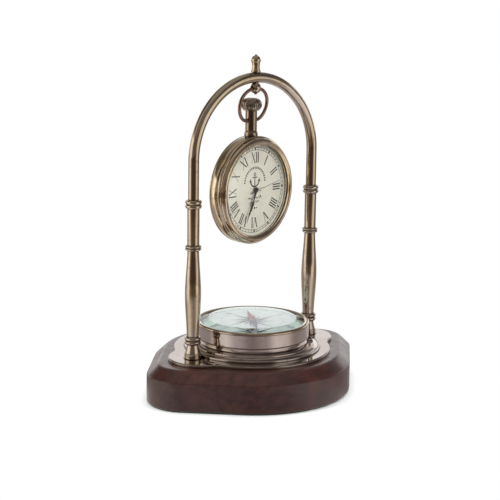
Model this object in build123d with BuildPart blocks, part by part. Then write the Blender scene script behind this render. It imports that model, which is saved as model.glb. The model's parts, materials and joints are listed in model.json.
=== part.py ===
from build123d import *
from math import acos, asin, cos, degrees, pi, radians, sin, tan
import os

# Ship's deck clock: a glazed pocket watch hung from a brass arch over a compass
# on a wooden base.  Millimetres, Z up, origin under the middle of the base.
# X runs along the arch, -Y is the front.

os.makedirs("parts", exist_ok=True)

# ---------------------------------------------------------------- fits
RUNNING_GAP = 0.05
CLEAR_GAP = 0.1
POLE_R = 0.25

# ---------------------------------------------------------------- wooden base
FELT_THICKNESS = 1.0
FELT_INSET = 1.5
WOOD_TOP_Z = 24.2
WOOD_MIDDLE_R = 61.0
WOOD_END_R = 23.3
WOOD_END_X = 52.7
BEVEL_DEPTH = 6.6
BEVEL_WIDTH = 6.2
BEVEL_LOWER_R = 1.5
BEVEL_UPPER_R = 3.2
FOOT_EDGE_R = 0.8
ROD_POCKET_R = 6.5
ROD_POCKET_TOP_Z = 9.0
BOLT_POCKET_R = 4.0
BOLT_POCKET_TOP_Z = 12.0

# ---------------------------------------------------------------- brass plate
PLATE_THICKNESS = 2.0
PLATE_MIDDLE_R = 48.5
PLATE_EAR_R = 20.3
PLATE_EAR_X = 40.4
PLATE_WAIST_R = 16.0
PLATE_EDGE_R = 0.8
DECK_Z = WOOD_TOP_Z + PLATE_THICKNESS

# ---------------------------------------------------------------- columns and arch
COLUMN_X = 47.2
ROD_R = 2.0
COLUMN_BORE_R = ROD_R + CLEAR_GAP
FOOT_BAND_R = 5.2
FOOT_BAND_HEIGHT = 3.4
FOOT_CONE_LOW_R = 4.7
FOOT_CONE_TOP_R = 3.4
FOOT_HEIGHT = 8.9
LOWER_COLLAR_R = 4.95
LOWER_COLLAR_HEIGHT = 4.6
SPINDLE_BOTTOM_R = 3.65
SPINDLE_BELLY_R = 4.85
SPINDLE_TOP_R = 3.45
SPINDLE_BELLY_Z = 39.0
MIDDLE_COLLAR_R = 4.85
MIDDLE_COLLAR_Z = 66.3
MIDDLE_COLLAR_HEIGHT = 3.0
SLEEVE_R = 3.62
FERRULE_R = 4.9
FERRULE_Z = 91.5
FERRULE_HEIGHT = 5.0
FERRULE_SHOULDER = 1.2
COLLAR_NECK = 0.55

TUBE_R = 3.175
TUBE_BORE_R = 2.05
ARCH_SPRING_Z = DECK_Z + 118.9
ARCH_R = COLUMN_X
TUBE_FOOT_Z = DECK_Z + FERRULE_Z + FERRULE_SHOULDER
ARCH_TOP_Z = ARCH_SPRING_Z + ARCH_R

ROD_BOTTOM_Z = 3.5
ROD_TOP_Z = TUBE_FOOT_Z + 12.0
NUT_FLATS = 7.0
NUT_HEIGHT = 3.2
WASHER_R = 4.5
WASHER_THICKNESS = 0.8

# ---------------------------------------------------------------- hanger
HANG_TWIST = 7.5
HANGER_BALL_Z = 186.0
HANGER_BALL_R = 3.4
HANGER_STEM_R = 1.5
HANGER_STEM_TOP_Z = 201.0
HANGER_EYE_R = 1.5
HANGER_TIP_Z = 182.0
HANGER_TIP_R = 0.9
FINIAL_BOTTOM_Z = ARCH_TOP_Z + TUBE_R + 0.03
FINIAL_TOP_Z = 206.0
FINIAL_FOOT_R = 2.9
FINIAL_WAIST_R = 2.45
FINIAL_BALL_R = 2.95
FINIAL_NIPPLE_R = 0.9

# ---------------------------------------------------------------- bow, pendant, crown
PENDANT_BACK = 3.2
BOW_PIVOT_Z = 166.2
BOW_WIRE_R = 1.05
BOW_HALF_WIDTH = 12.2
BOW_PIN_START = 1.75
BOW_STRAIGHT_END = 3.9
PENDANT_R = 3.5
PENDANT_BORE_R = 1.0
PENDANT_BOTTOM_Z = 155.4
PENDANT_TOP_Z = 173.0
PENDANT_TENON_R = 2.3
PENDANT_COLLAR_R = 4.1
PENDANT_COLLAR_Z = 157.6
PENDANT_COLLAR_TOP_Z = 160.2
CROWN_R = 6.4
CROWN_BOTTOM_Z = 172.3
CROWN_SHOULDER_Z = 179.0
CROWN_TOP_Z = 180.0
CROWN_RECESS_R = 3.8
CROWN_RECESS_TOP_Z = 174.5
CROWN_BOTTOM_R = 4.5
CROWN_BELLY_Z = 176.3
CROWN_SHOULDER_R = 5.0
CROWN_TEETH = 30
CROWN_FLUTE_R = 0.42
CROWN_DOME_SAG = 0.25
STEM_R = 0.6
STEM_TOP_Z = 178.0

# ---------------------------------------------------------------- watch case
CASE_Z = 124.0
CASE_R = 33.0
CASE_BACK = -5.9
CASE_FRONT = -0.6
CASE_BORE_R = 29.4
DIAL_SEAT_R = 30.5
CASE_LIP_R = 31.7
CASE_LIP_FRONT = 0.9
CASE_EDGE_R = 0.45
CASE_SADDLE_GAP = 0.02
BEZEL_BACK = -0.25
BEZEL_BEAD = 1.85
BEZEL_GROOVE_R = 31.9
BEZEL_GROOVE = 2.12
BEZEL_CREST_R = 29.8
BEZEL_CREST = 4.5
BEZEL_APERTURE_R = 27.8
BEZEL_APERTURE = 3.5
BEZEL_HEEL_IN = 0.15
BEZEL_HEEL_UP = 0.2
BEZEL_HEEL_RISE = 0.55
BEZEL_BEAD_SAG = 0.08
BEZEL_BEAD_ROUND = 0.6
BEZEL_BEAD_IN = 0.5
BEZEL_GROOVE_OUT = 0.15
BEZEL_GROOVE_UP = 0.3
BEZEL_SLOPE_OUT = 1.55
BEZEL_SLOPE_DOWN = 0.85
BEZEL_CREST_HALF = 0.5
BEZEL_CREST_SAG = 0.12
BEZEL_COVE_IN = 0.15
BEZEL_LIP = 0.22
CRYSTAL_CLEAR_DEPTH = 0.3
BEZEL_SHELF = 0.1
CRYSTAL_SEAT_R = 28.75
CRYSTAL_R = 28.65
CRYSTAL_EDGE_BACK = 2.2
CRYSTAL_EDGE_FRONT = 3.2
CRYSTAL_TOP = 5.2
CRYSTAL_THICKNESS = 1.0
GASKET_THICKNESS = 0.7
GASKET_WIDTH = 0.75
BACK_COVER_BULGE = -9.0
BACK_COVER_THICKNESS = 0.8
BACK_SNAP_DEPTH = 1.1
DIAL_R = 30.35
DIAL_THICKNESS = 0.5
DIAL_HOLE_R = 1.5

# ---------------------------------------------------------------- movement
MOVEMENT_R = 13.5
MOVEMENT_FRONT = -2.0
MOVEMENT_BACK = -5.0
BOARD_THICKNESS = 0.4
HOLDER_FRONT = -0.65
HOLDER_BACK = -4.8
STEM_POCKET_LOW = 7.5
STEM_POCKET_HIGH = 12.6
STEM_POCKET_WIDTH = 5.0
STEM_POCKET_FRONT = -2.4
STEM_END_RADIUS = 8.6
STEM_GROOVE_R = 0.35
STEM_GROOVE_LOW = 9.9
STEM_GROOVE_HIGH = 10.5
LEVER_THICKNESS = 0.5
LEVER_WIDTH = 3.6
CROWN_PULL = 1.0
CELL_R = 3.4
CELL_THICKNESS = 2.1
CELL_U = -6.6
CELL_V = -3.6
COIL_R = 0.95
COIL_LENGTH = 9.0
COIL_U = 3.0
COIL_V = -8.6
CAN_R = 0.7
CAN_LENGTH = 5.6
CAN_U = 8.6
CAN_V = -1.6

# motion work: cannon pinion > minute wheel, minute pinion > hour wheel
FIRST_MODULE = 0.25
SECOND_MODULE = 0.24
CANNON_TEETH = 12
MINUTE_WHEEL_TEETH = 36
MINUTE_PINION_TEETH = 10
HOUR_WHEEL_TEETH = 40
GEAR_DISTANCE = FIRST_MODULE * (CANNON_TEETH + MINUTE_WHEEL_TEETH) / 2
GEAR_LINE_ANGLE = 20.0
TOOTH_THINNING = 0.14
PRESSURE_ANGLE = radians(20)
ADDENDUM = 0.92
DEDENDUM = 1.25
FIRST_GEAR_BACK = -1.9
FIRST_GEAR_FRONT = -1.5
MINUTE_PINION_FRONT = -0.75
HOUR_WHEEL_BACK = -1.3
HOUR_WHEEL_FRONT = -0.85
SECOND_ARBOR_R = 0.35
CANNON_TUBE_R = 0.85
HOUR_TUBE_R = 1.3
MINUTE_POST_R = 0.5

# ---------------------------------------------------------------- hands
TIME_HOURS = 6
TIME_MINUTES = 34
TIME_SECONDS = 13
HAND_THICKNESS = 0.25
HOUR_HAND_LEVEL = 0.95
MINUTE_HAND_LEVEL = 1.7
SECOND_HAND_LEVEL = 2.45
SECOND_HAND_THICKNESS = 0.15
HOUR_HAND_LENGTH = 13.3
MINUTE_HAND_LENGTH = 21.0
SECOND_HAND_LENGTH = 20.9
SECOND_HAND_TAIL = 6.5
HOUR_HUB_R = 1.8
MINUTE_HUB_R = 1.4
SECOND_HUB_R = 1.0
HAND_TIP_HALF = 0.08
HOUR_ROOT_HALF = 0.55
HOUR_BELLY_HALF = 0.95
HOUR_NECK_HALF = 0.32
HOUR_BELLY_AT = 9.0
MINUTE_ROOT_HALF = 0.5
MINUTE_BELLY_HALF = 0.55
MINUTE_NECK_HALF = 0.28
MINUTE_BELLY_AT = 14.5
SECOND_TAIL_HALF = 0.3
SECOND_MIDDLE_HALF = 0.16
LEAF_START = 0.78
LEAF_END = 0.42
LEAF_SLOPE = 0.15

# ---------------------------------------------------------------- compass
FLANGE_R = 42.0
FLANGE_STEP_R = 38.3
FLANGE_LOW = 1.5
FLANGE_HIGH = 3.5
FLANGE_EDGE_DROP = 0.5
FLANGE_EDGE_RUN = 0.7
FLANGE_EDGE_MID = 0.2
FLANGE_EDGE_SAG = 0.12
FLANGE_COVE_RUN = 0.9
FLANGE_COVE_RISE = 0.7
FLANGE_COVE_SAG = 0.15
NECK_COVE_RUN = 0.8
NECK_COVE_RISE = 1.2
NECK_COVE_MID = 0.6
NECK_COVE_SAG = 0.2
COMPASS_NECK_R = 33.2
COMPASS_NECK_TOP = 6.4
FLANGE_BORE_R = 30.0
COMPASS_R = 35.0
COMPASS_CASE_TOP = 15.0
COMPASS_WELL_R = 31.4
COMPASS_GLASS_SEAT_R = 33.3
COMPASS_FLOOR_TOP = 7.6
GLASS_SEAT = 12.2
COMPASS_GASKET_TOP = 12.8
GLASS_R = 33.2
GLASS_EDGE_TOP = 15.9
GLASS_FLAT_R = 27.3
GLASS_TOP = 18.0
RIM_R = 35.35
RIM_TOP = 16.8
RIM_INNER_R = 32.45
CARD_R = 31.2
CARD_THICKNESS = 0.5
PIVOT_FOOT_R = 2.0
PIVOT_R = 0.5
NEEDLE_LEVEL = 10.3
NEEDLE_THICKNESS = 0.35
NEEDLE_HALF_LENGTH = 24.0
NEEDLE_HALF_WIDTH = 2.6
NEEDLE_HUB_R = 3.0
NEEDLE_CAP_R = 1.7
NEEDLE_BEARING = 33.0
BOLT_R = 1.5
BOLT_HEAD_R = 2.75
BOLT_HEAD_HEIGHT = 2.0

# ---------------------------------------------------------------- shared frames
TWIST = radians(HANG_TWIST)
ACROSS = Vector(cos(TWIST), sin(TWIST), 0)
FORWARD = Vector(sin(TWIST), -cos(TWIST), 0)
UP = Vector(0, 0, 1)
CASE_CENTRE = Vector(0, 0, CASE_Z)
PENDANT_FOOT = FORWARD * -PENDANT_BACK
HANG_POINT = Vector(0, 0, HANGER_BALL_Z)
BOW_PIVOT = PENDANT_FOOT + UP * BOW_PIVOT_Z
BOW_UP = (HANG_POINT - BOW_PIVOT).normalized()
BOW_HEIGHT = (HANG_POINT - BOW_PIVOT).length

dial_plane = Plane(origin=CASE_CENTRE, x_dir=ACROSS, z_dir=FORWARD)
case_section = Plane(origin=CASE_CENTRE, x_dir=ACROSS, z_dir=ACROSS.cross(FORWARD))
case_axis = Axis(CASE_CENTRE, FORWARD)
pendant_section = Plane(origin=PENDANT_FOOT, x_dir=ACROSS, z_dir=ACROSS.cross(UP))
pendant_axis = Axis(PENDANT_FOOT, UP)
bow_plane = Plane(origin=BOW_PIVOT, x_dir=ACROSS, z_dir=ACROSS.cross(BOW_UP))


def save(builder, name):
    """Label a finished piece and write it as its own STEP file."""
    builder.part.label = name
    export_step(builder.part, f"parts/{name}.step")


def bead_outline(radius, low, high, beads, neck, bore):
    """Half outline of a turned collar whose outside is a stack of round beads."""
    pitch = (high - low) / beads
    with BuildLine() as outline:
        Line((bore, high), (bore, low))
        Line((bore, low), (radius - neck, low))
        for bead in range(beads):
            base = low + bead * pitch
            ThreePointArc(
                (radius - neck, base),
                (radius, base + pitch / 2),
                (radius - neck, base + pitch),
            )
        Line((radius - neck, high), (bore, high))
    return outline.line


# ================================================================ base
with BuildPart() as felt_pad:
    with BuildSketch():
        Circle(WOOD_MIDDLE_R - FELT_INSET)
        with Locations((WOOD_END_X, 0), (-WOOD_END_X, 0)):
            Circle(WOOD_END_R - FELT_INSET)
        make_hull()
    extrude(amount=FELT_THICKNESS)
save(felt_pad, "felt_pad")

with BuildPart() as wood_base:
    with BuildSketch(Plane.XY.offset(FELT_THICKNESS)):
        Circle(WOOD_MIDDLE_R)
        with Locations((WOOD_END_X, 0), (-WOOD_END_X, 0)):
            Circle(WOOD_END_R)
        make_hull()
    extrude(amount=WOOD_TOP_Z - FELT_THICKNESS)
    top_rim = wood_base.faces().sort_by(Axis.Z)[-1]
    chamfer(top_rim.edges(), length=BEVEL_DEPTH, length2=BEVEL_WIDTH, reference=top_rim)
    fillet(wood_base.edges().group_by(Axis.Z)[-1], BEVEL_UPPER_R)
    arris = wood_base.edges().filter_by_position(
        Axis.Z, WOOD_TOP_Z - 2 * BEVEL_DEPTH, WOOD_TOP_Z - BEVEL_WIDTH / 2
    )
    fillet(arris, BEVEL_LOWER_R)
    fillet(wood_base.edges().group_by(Axis.Z)[0], FOOT_EDGE_R)
    with BuildSketch(Plane.XY):
        with Locations((COLUMN_X, 0), (-COLUMN_X, 0)):
            Circle(COLUMN_BORE_R)
        Circle(BOLT_R + CLEAR_GAP)
    extrude(amount=WOOD_TOP_Z, mode=Mode.SUBTRACT)
    with BuildSketch(Plane.XY):
        with Locations((COLUMN_X, 0), (-COLUMN_X, 0)):
            Circle(ROD_POCKET_R)
    extrude(amount=ROD_POCKET_TOP_Z, mode=Mode.SUBTRACT)
    with BuildSketch(Plane.XY):
        Circle(BOLT_POCKET_R)
    extrude(amount=BOLT_POCKET_TOP_Z, mode=Mode.SUBTRACT)
save(wood_base, "wood_base")

with BuildPart() as base_plate:
    with BuildSketch(Plane.XY.offset(WOOD_TOP_Z)) as base_plate_outline:
        Circle(PLATE_MIDDLE_R)
        with Locations((PLATE_EAR_X, 0), (-PLATE_EAR_X, 0)):
            Circle(PLATE_EAR_R)
        waists = base_plate_outline.vertices().filter_by(
            lambda corner: abs(corner.X) < PLATE_MIDDLE_R
        )
        fillet(waists, PLATE_WAIST_R)
    extrude(amount=PLATE_THICKNESS)
    fillet(base_plate.edges().group_by(Axis.Z)[-1], PLATE_EDGE_R)
    with BuildSketch(Plane.XY.offset(WOOD_TOP_Z)):
        with Locations((COLUMN_X, 0), (-COLUMN_X, 0)):
            Circle(COLUMN_BORE_R)
        Circle(BOLT_R + CLEAR_GAP)
    extrude(amount=PLATE_THICKNESS, mode=Mode.SUBTRACT)
save(base_plate, "base_plate")

# ================================================================ columns
sides = {"left": -COLUMN_X, "right": COLUMN_X}
lower_collar_z = DECK_Z + FOOT_HEIGHT
spindle_z = lower_collar_z + LOWER_COLLAR_HEIGHT
middle_collar_z = DECK_Z + MIDDLE_COLLAR_Z
sleeve_z = middle_collar_z + MIDDLE_COLLAR_HEIGHT
ferrule_z = DECK_Z + FERRULE_Z

for side, column_x in sides.items():
    column_section = Plane(origin=(column_x, 0, 0), x_dir=(1, 0, 0), z_dir=(0, -1, 0))
    column_axis = Axis((column_x, 0, 0), (0, 0, 1))

    with BuildPart() as column_foot:
        with BuildSketch(column_section):
            with BuildLine():
                Polyline(
                    (COLUMN_BORE_R, lower_collar_z),
                    (COLUMN_BORE_R, DECK_Z),
                    (FOOT_BAND_R - 0.2, DECK_Z),
                    (FOOT_BAND_R, DECK_Z + 0.3),
                    (FOOT_BAND_R, DECK_Z + FOOT_BAND_HEIGHT - 0.5),
                )
                ThreePointArc(
                    (FOOT_BAND_R, DECK_Z + FOOT_BAND_HEIGHT - 0.5),
                    (FOOT_BAND_R - 0.15, DECK_Z + FOOT_BAND_HEIGHT - 0.15),
                    (FOOT_CONE_LOW_R, DECK_Z + FOOT_BAND_HEIGHT),
                )
                ThreePointArc(
                    (FOOT_CONE_LOW_R, DECK_Z + FOOT_BAND_HEIGHT),
                    (
                        (FOOT_CONE_LOW_R + FOOT_CONE_TOP_R) / 2 - 0.12,
                        DECK_Z + (FOOT_BAND_HEIGHT + FOOT_HEIGHT) / 2,
                    ),
                    (FOOT_CONE_TOP_R, lower_collar_z),
                )
                Line((FOOT_CONE_TOP_R, lower_collar_z), (COLUMN_BORE_R, lower_collar_z))
            make_face()
        revolve(axis=column_axis)
    save(column_foot, f"{side}_column_foot")

    with BuildPart() as lower_collar:
        with BuildSketch(column_section):
            add(
                bead_outline(
                    LOWER_COLLAR_R, lower_collar_z, spindle_z, 2, COLLAR_NECK, COLUMN_BORE_R
                )
            )
            make_face()
        revolve(axis=column_axis)
    save(lower_collar, f"{side}_lower_collar")

    with BuildPart() as column_spindle:
        with BuildSketch(column_section):
            with BuildLine():
                Line((COLUMN_BORE_R, middle_collar_z), (COLUMN_BORE_R, spindle_z))
                Line((COLUMN_BORE_R, spindle_z), (SPINDLE_BOTTOM_R, spindle_z))
                Spline(
                    (SPINDLE_BOTTOM_R, spindle_z),
                    (SPINDLE_BELLY_R, DECK_Z + SPINDLE_BELLY_Z),
                    (SPINDLE_TOP_R, middle_collar_z),
                    tangents=[(0.02, 1), (0, 1), (-0.02, 1)],
                )
                Line((SPINDLE_TOP_R, middle_collar_z), (COLUMN_BORE_R, middle_collar_z))
            make_face()
        revolve(axis=column_axis)
    save(column_spindle, f"{side}_column_spindle")

    with BuildPart() as middle_collar:
        with BuildSketch(column_section):
            add(
                bead_outline(
                    MIDDLE_COLLAR_R, middle_collar_z, sleeve_z, 2, COLLAR_NECK, COLUMN_BORE_R
                )
            )
            make_face()
        revolve(axis=column_axis)
    save(middle_collar, f"{side}_middle_collar")

    with BuildPart() as column_sleeve:
        with BuildSketch(Plane.XY.offset(sleeve_z)):
            with Locations((column_x, 0)):
                Circle(SLEEVE_R)
                Circle(COLUMN_BORE_R, mode=Mode.SUBTRACT)
        extrude(amount=ferrule_z - sleeve_z)
    save(column_sleeve, f"{side}_column_sleeve")

    with BuildPart() as ferrule:
        with BuildSketch(column_section):
            add(
                bead_outline(
                    FERRULE_R,
                    ferrule_z,
                    ferrule_z + FERRULE_HEIGHT,
                    2,
                    COLLAR_NECK,
                    COLUMN_BORE_R,
                )
            )
            make_face()
        revolve(axis=column_axis)
        with BuildSketch(Plane.XY.offset(TUBE_FOOT_Z)):
            with Locations((column_x, 0)):
                Circle(TUBE_R + RUNNING_GAP)
        extrude(amount=FERRULE_HEIGHT, mode=Mode.SUBTRACT)
    save(ferrule, f"{side}_ferrule")

    with BuildPart() as tie_rod:
        with BuildSketch(Plane.XY.offset(ROD_BOTTOM_Z)):
            with Locations((column_x, 0)):
                Circle(ROD_R)
        extrude(amount=ROD_TOP_Z - ROD_BOTTOM_Z)
        chamfer(tie_rod.edges().filter_by(GeomType.CIRCLE), 0.4)
    save(tie_rod, f"{side}_tie_rod")

with BuildPart() as rod_washers:
    with BuildSketch(Plane.XY.offset(ROD_POCKET_TOP_Z - WASHER_THICKNESS)):
        with Locations((COLUMN_X, 0), (-COLUMN_X, 0)):
            Circle(WASHER_R)
            Circle(COLUMN_BORE_R, mode=Mode.SUBTRACT)
    extrude(amount=WASHER_THICKNESS)
save(rod_washers, "rod_washers")

with BuildPart() as rod_nuts:
    with BuildSketch(Plane.XY.offset(ROD_POCKET_TOP_Z - WASHER_THICKNESS - NUT_HEIGHT)):
        with Locations((COLUMN_X, 0), (-COLUMN_X, 0)):
            RegularPolygon(NUT_FLATS / 2, 6, major_radius=False)
            Circle(ROD_R, mode=Mode.SUBTRACT)
    extrude(amount=NUT_HEIGHT)
save(rod_nuts, "rod_nuts")

with BuildPart() as arch_tube:
    with BuildLine(Plane.XZ) as arch_path:
        Line((-COLUMN_X, TUBE_FOOT_Z), (-COLUMN_X, ARCH_SPRING_Z))
        ThreePointArc(
            (-COLUMN_X, ARCH_SPRING_Z), (0, ARCH_TOP_Z), (COLUMN_X, ARCH_SPRING_Z)
        )
        Line((COLUMN_X, ARCH_SPRING_Z), (COLUMN_X, TUBE_FOOT_Z))
    with BuildSketch(Plane.XY.offset(TUBE_FOOT_Z)):
        with Locations((-COLUMN_X, 0)):
            Circle(TUBE_R)
            Circle(TUBE_BORE_R, mode=Mode.SUBTRACT)
    sweep(path=arch_path.line)
    with BuildSketch(Plane.XY.offset(ARCH_SPRING_Z)):
        Circle(HANGER_STEM_R + RUNNING_GAP)
    extrude(amount=ARCH_R + 2 * TUBE_R, mode=Mode.SUBTRACT)
save(arch_tube, "arch_tube")

# ================================================================ hanger
with BuildPart() as hanger_ball:
    with BuildSketch(Plane.XZ):
        with BuildLine():
            Line((0, HANGER_TIP_Z), (0, HANGER_STEM_TOP_Z))
            Line((0, HANGER_STEM_TOP_Z), (HANGER_STEM_R, HANGER_STEM_TOP_Z))
            stem_foot_z = HANGER_BALL_Z + (HANGER_BALL_R**2 - HANGER_STEM_R**2) ** 0.5
            tip_root_z = HANGER_BALL_Z - (HANGER_BALL_R**2 - HANGER_TIP_R**2) ** 0.5
            Line((HANGER_STEM_R, HANGER_STEM_TOP_Z), (HANGER_STEM_R, stem_foot_z))
            ThreePointArc(
                (HANGER_STEM_R, stem_foot_z),
                (HANGER_BALL_R, HANGER_BALL_Z),
                (HANGER_TIP_R, tip_root_z),
            )
            ThreePointArc(
                (HANGER_TIP_R, tip_root_z),
                (HANGER_TIP_R * 0.72, HANGER_TIP_Z + 0.15),
                (POLE_R, HANGER_TIP_Z),
            )
            Line((POLE_R, HANGER_TIP_Z), (0, HANGER_TIP_Z))
        make_face()
    revolve(axis=Axis.Z)
    with BuildSketch(Plane(origin=HANG_POINT, x_dir=(0, 0, 1), z_dir=ACROSS)):
        Circle(HANGER_EYE_R)
    extrude(amount=HANGER_BALL_R, both=True, mode=Mode.SUBTRACT)
    eye_rims = hanger_ball.edges().filter_by(
        lambda edge: abs((edge.center() - HANG_POINT).dot(ACROSS)) > HANGER_BALL_R / 2
        and abs(edge.center().Z - HANGER_BALL_Z) < HANGER_EYE_R
    )
    fillet(eye_rims, 0.2)
save(hanger_ball, "hanger_ball")

with BuildPart() as finial:
    waist_z = FINIAL_BOTTOM_Z + 4.2
    neck_z = FINIAL_TOP_Z - 4.9
    ball_z = FINIAL_TOP_Z - 3.1
    nipple_z = FINIAL_TOP_Z - 0.75
    with BuildSketch(Plane.XZ):
        with BuildLine():
            Line((0, FINIAL_TOP_Z), (0, FINIAL_BOTTOM_Z))
            Line((0, FINIAL_BOTTOM_Z), (FINIAL_FOOT_R, FINIAL_BOTTOM_Z))
            Line((FINIAL_FOOT_R, FINIAL_BOTTOM_Z), (FINIAL_FOOT_R, FINIAL_BOTTOM_Z + 0.8))
            ThreePointArc(
                (FINIAL_FOOT_R, FINIAL_BOTTOM_Z + 0.8),
                (FINIAL_WAIST_R + 0.05, waist_z - 1.4),
                (FINIAL_WAIST_R, neck_z),
            )
            ThreePointArc(
                (FINIAL_WAIST_R, neck_z),
                (FINIAL_BALL_R, ball_z),
                (FINIAL_NIPPLE_R, nipple_z),
            )
            ThreePointArc(
                (FINIAL_NIPPLE_R, nipple_z),
                (FINIAL_NIPPLE_R * 0.8, FINIAL_TOP_Z - 0.2),
                (POLE_R, FINIAL_TOP_Z),
            )
            Line((POLE_R, FINIAL_TOP_Z), (0, FINIAL_TOP_Z))
        make_face()
    revolve(axis=Axis.Z)
    with BuildSketch(Plane.XY.offset(FINIAL_BOTTOM_Z)):
        Circle(HANGER_STEM_R)
    extrude(amount=HANGER_STEM_TOP_Z - FINIAL_BOTTOM_Z + CLEAR_GAP, mode=Mode.SUBTRACT)
save(finial, "finial")

# ================================================================ bow, pendant, crown
with BuildPart() as bow:
    bow_top = BOW_HEIGHT - CLEAR_GAP
    middle = bow_top / 2
    lower_x = BOW_HALF_WIDTH - BOW_STRAIGHT_END
    with BuildLine(bow_plane) as bow_path:
        Line((BOW_PIN_START, 0), (BOW_STRAIGHT_END, 0))
        EllipticalCenterArc(
            (BOW_STRAIGHT_END, middle), lower_x, middle, start_angle=-90, arc_size=90
        )
        EllipticalCenterArc((0, middle), BOW_HALF_WIDTH, middle, start_angle=0, arc_size=180)
        EllipticalCenterArc(
            (-BOW_STRAIGHT_END, middle), lower_x, middle, start_angle=180, arc_size=90
        )
        Line((-BOW_STRAIGHT_END, 0), (-BOW_PIN_START, 0))
    with BuildSketch(
        Plane(origin=BOW_PIVOT + ACROSS * BOW_PIN_START, x_dir=BOW_UP, z_dir=ACROSS)
    ):
        Circle(BOW_WIRE_R)
    sweep(path=bow_path.line)
save(bow, "bow")

with BuildPart() as pendant:
    with BuildSketch(pendant_section):
        with BuildLine():
            Polyline(
                (0, PENDANT_TOP_Z),
                (0, PENDANT_BOTTOM_Z),
                (PENDANT_COLLAR_R, PENDANT_BOTTOM_Z),
                (PENDANT_COLLAR_R, PENDANT_COLLAR_Z),
            )
            ThreePointArc(
                (PENDANT_COLLAR_R, PENDANT_COLLAR_Z),
                (PENDANT_COLLAR_R - 0.1, (PENDANT_COLLAR_Z + PENDANT_COLLAR_TOP_Z) / 2),
                (PENDANT_R, PENDANT_COLLAR_TOP_Z),
            )
            Polyline(
                (PENDANT_R, PENDANT_COLLAR_TOP_Z),
                (PENDANT_R, PENDANT_TOP_Z - 0.4),
                (PENDANT_R - 0.4, PENDANT_TOP_Z),
                (0, PENDANT_TOP_Z),
            )
        make_face()
    revolve(axis=pendant_axis)
    # the collar is saddled to the round of the case, and a round tenon goes into it
    with BuildSketch(dial_plane):
        Circle(CASE_R + CASE_SADDLE_GAP)
    extrude(amount=CASE_R, both=True, mode=Mode.SUBTRACT)
    with BuildSketch(Plane(origin=PENDANT_FOOT + UP * PENDANT_BOTTOM_Z, x_dir=ACROSS)):
        Circle(PENDANT_TENON_R)
    extrude(amount=PENDANT_COLLAR_Z - PENDANT_BOTTOM_Z)
    with BuildSketch(Plane(origin=PENDANT_FOOT + UP * PENDANT_BOTTOM_Z, x_dir=ACROSS)):
        Circle(PENDANT_BORE_R)
    extrude(amount=PENDANT_TOP_Z - PENDANT_BOTTOM_Z, mode=Mode.SUBTRACT)
    for way in (1, -1):
        bow_hole = Plane(
            origin=BOW_PIVOT + ACROSS * (way * (BOW_PIN_START - CLEAR_GAP)),
            x_dir=UP,
            z_dir=ACROSS * way,
        )
        with BuildSketch(bow_hole):
            Circle(BOW_WIRE_R + RUNNING_GAP)
        extrude(amount=PENDANT_R, mode=Mode.SUBTRACT)
save(pendant, "pendant")

with BuildPart() as crown:
    with BuildSketch(pendant_section):
        with BuildLine():
            Polyline(
                (0, CROWN_TOP_Z),
                (0, CROWN_RECESS_TOP_Z),
                (CROWN_RECESS_R, CROWN_RECESS_TOP_Z),
                (CROWN_RECESS_R, CROWN_BOTTOM_Z),
                (CROWN_BOTTOM_R, CROWN_BOTTOM_Z),
            )
            ThreePointArc(
                (CROWN_BOTTOM_R, CROWN_BOTTOM_Z),
                (CROWN_R, CROWN_BELLY_Z),
                (CROWN_SHOULDER_R, CROWN_SHOULDER_Z),
            )
            ThreePointArc(
                (CROWN_SHOULDER_R, CROWN_SHOULDER_Z),
                (CROWN_R / 2, CROWN_TOP_Z - CROWN_DOME_SAG),
                (POLE_R, CROWN_TOP_Z),
            )
            Line((POLE_R, CROWN_TOP_Z), (0, CROWN_TOP_Z))
        make_face()
    revolve(axis=pendant_axis)
    with BuildSketch(Plane(origin=PENDANT_FOOT + UP * CROWN_BOTTOM_Z, x_dir=ACROSS)):
        with PolarLocations(CROWN_R, CROWN_TEETH):
            Circle(CROWN_FLUTE_R)
    extrude(amount=CROWN_TOP_Z - CROWN_BOTTOM_Z, mode=Mode.SUBTRACT)
    with BuildSketch(Plane(origin=PENDANT_FOOT + UP * CROWN_RECESS_TOP_Z, x_dir=ACROSS)):
        Circle(STEM_R)
    extrude(amount=STEM_TOP_Z - CROWN_RECESS_TOP_Z, mode=Mode.SUBTRACT)
save(crown, "crown")

with BuildPart() as stem:
    with BuildSketch(pendant_section):
        with BuildLine():
            Polyline(
                (0, STEM_TOP_Z),
                (0, CASE_Z + STEM_END_RADIUS),
                (STEM_R, CASE_Z + STEM_END_RADIUS),
                (STEM_R, CASE_Z + STEM_GROOVE_LOW),
                (STEM_GROOVE_R, CASE_Z + STEM_GROOVE_LOW),
                (STEM_GROOVE_R, CASE_Z + STEM_GROOVE_HIGH),
                (STEM_R, CASE_Z + STEM_GROOVE_HIGH),
                (STEM_R, STEM_TOP_Z),
                close=True,
            )
        make_face()
    revolve(axis=pendant_axis)
save(stem, "stem")

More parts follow.
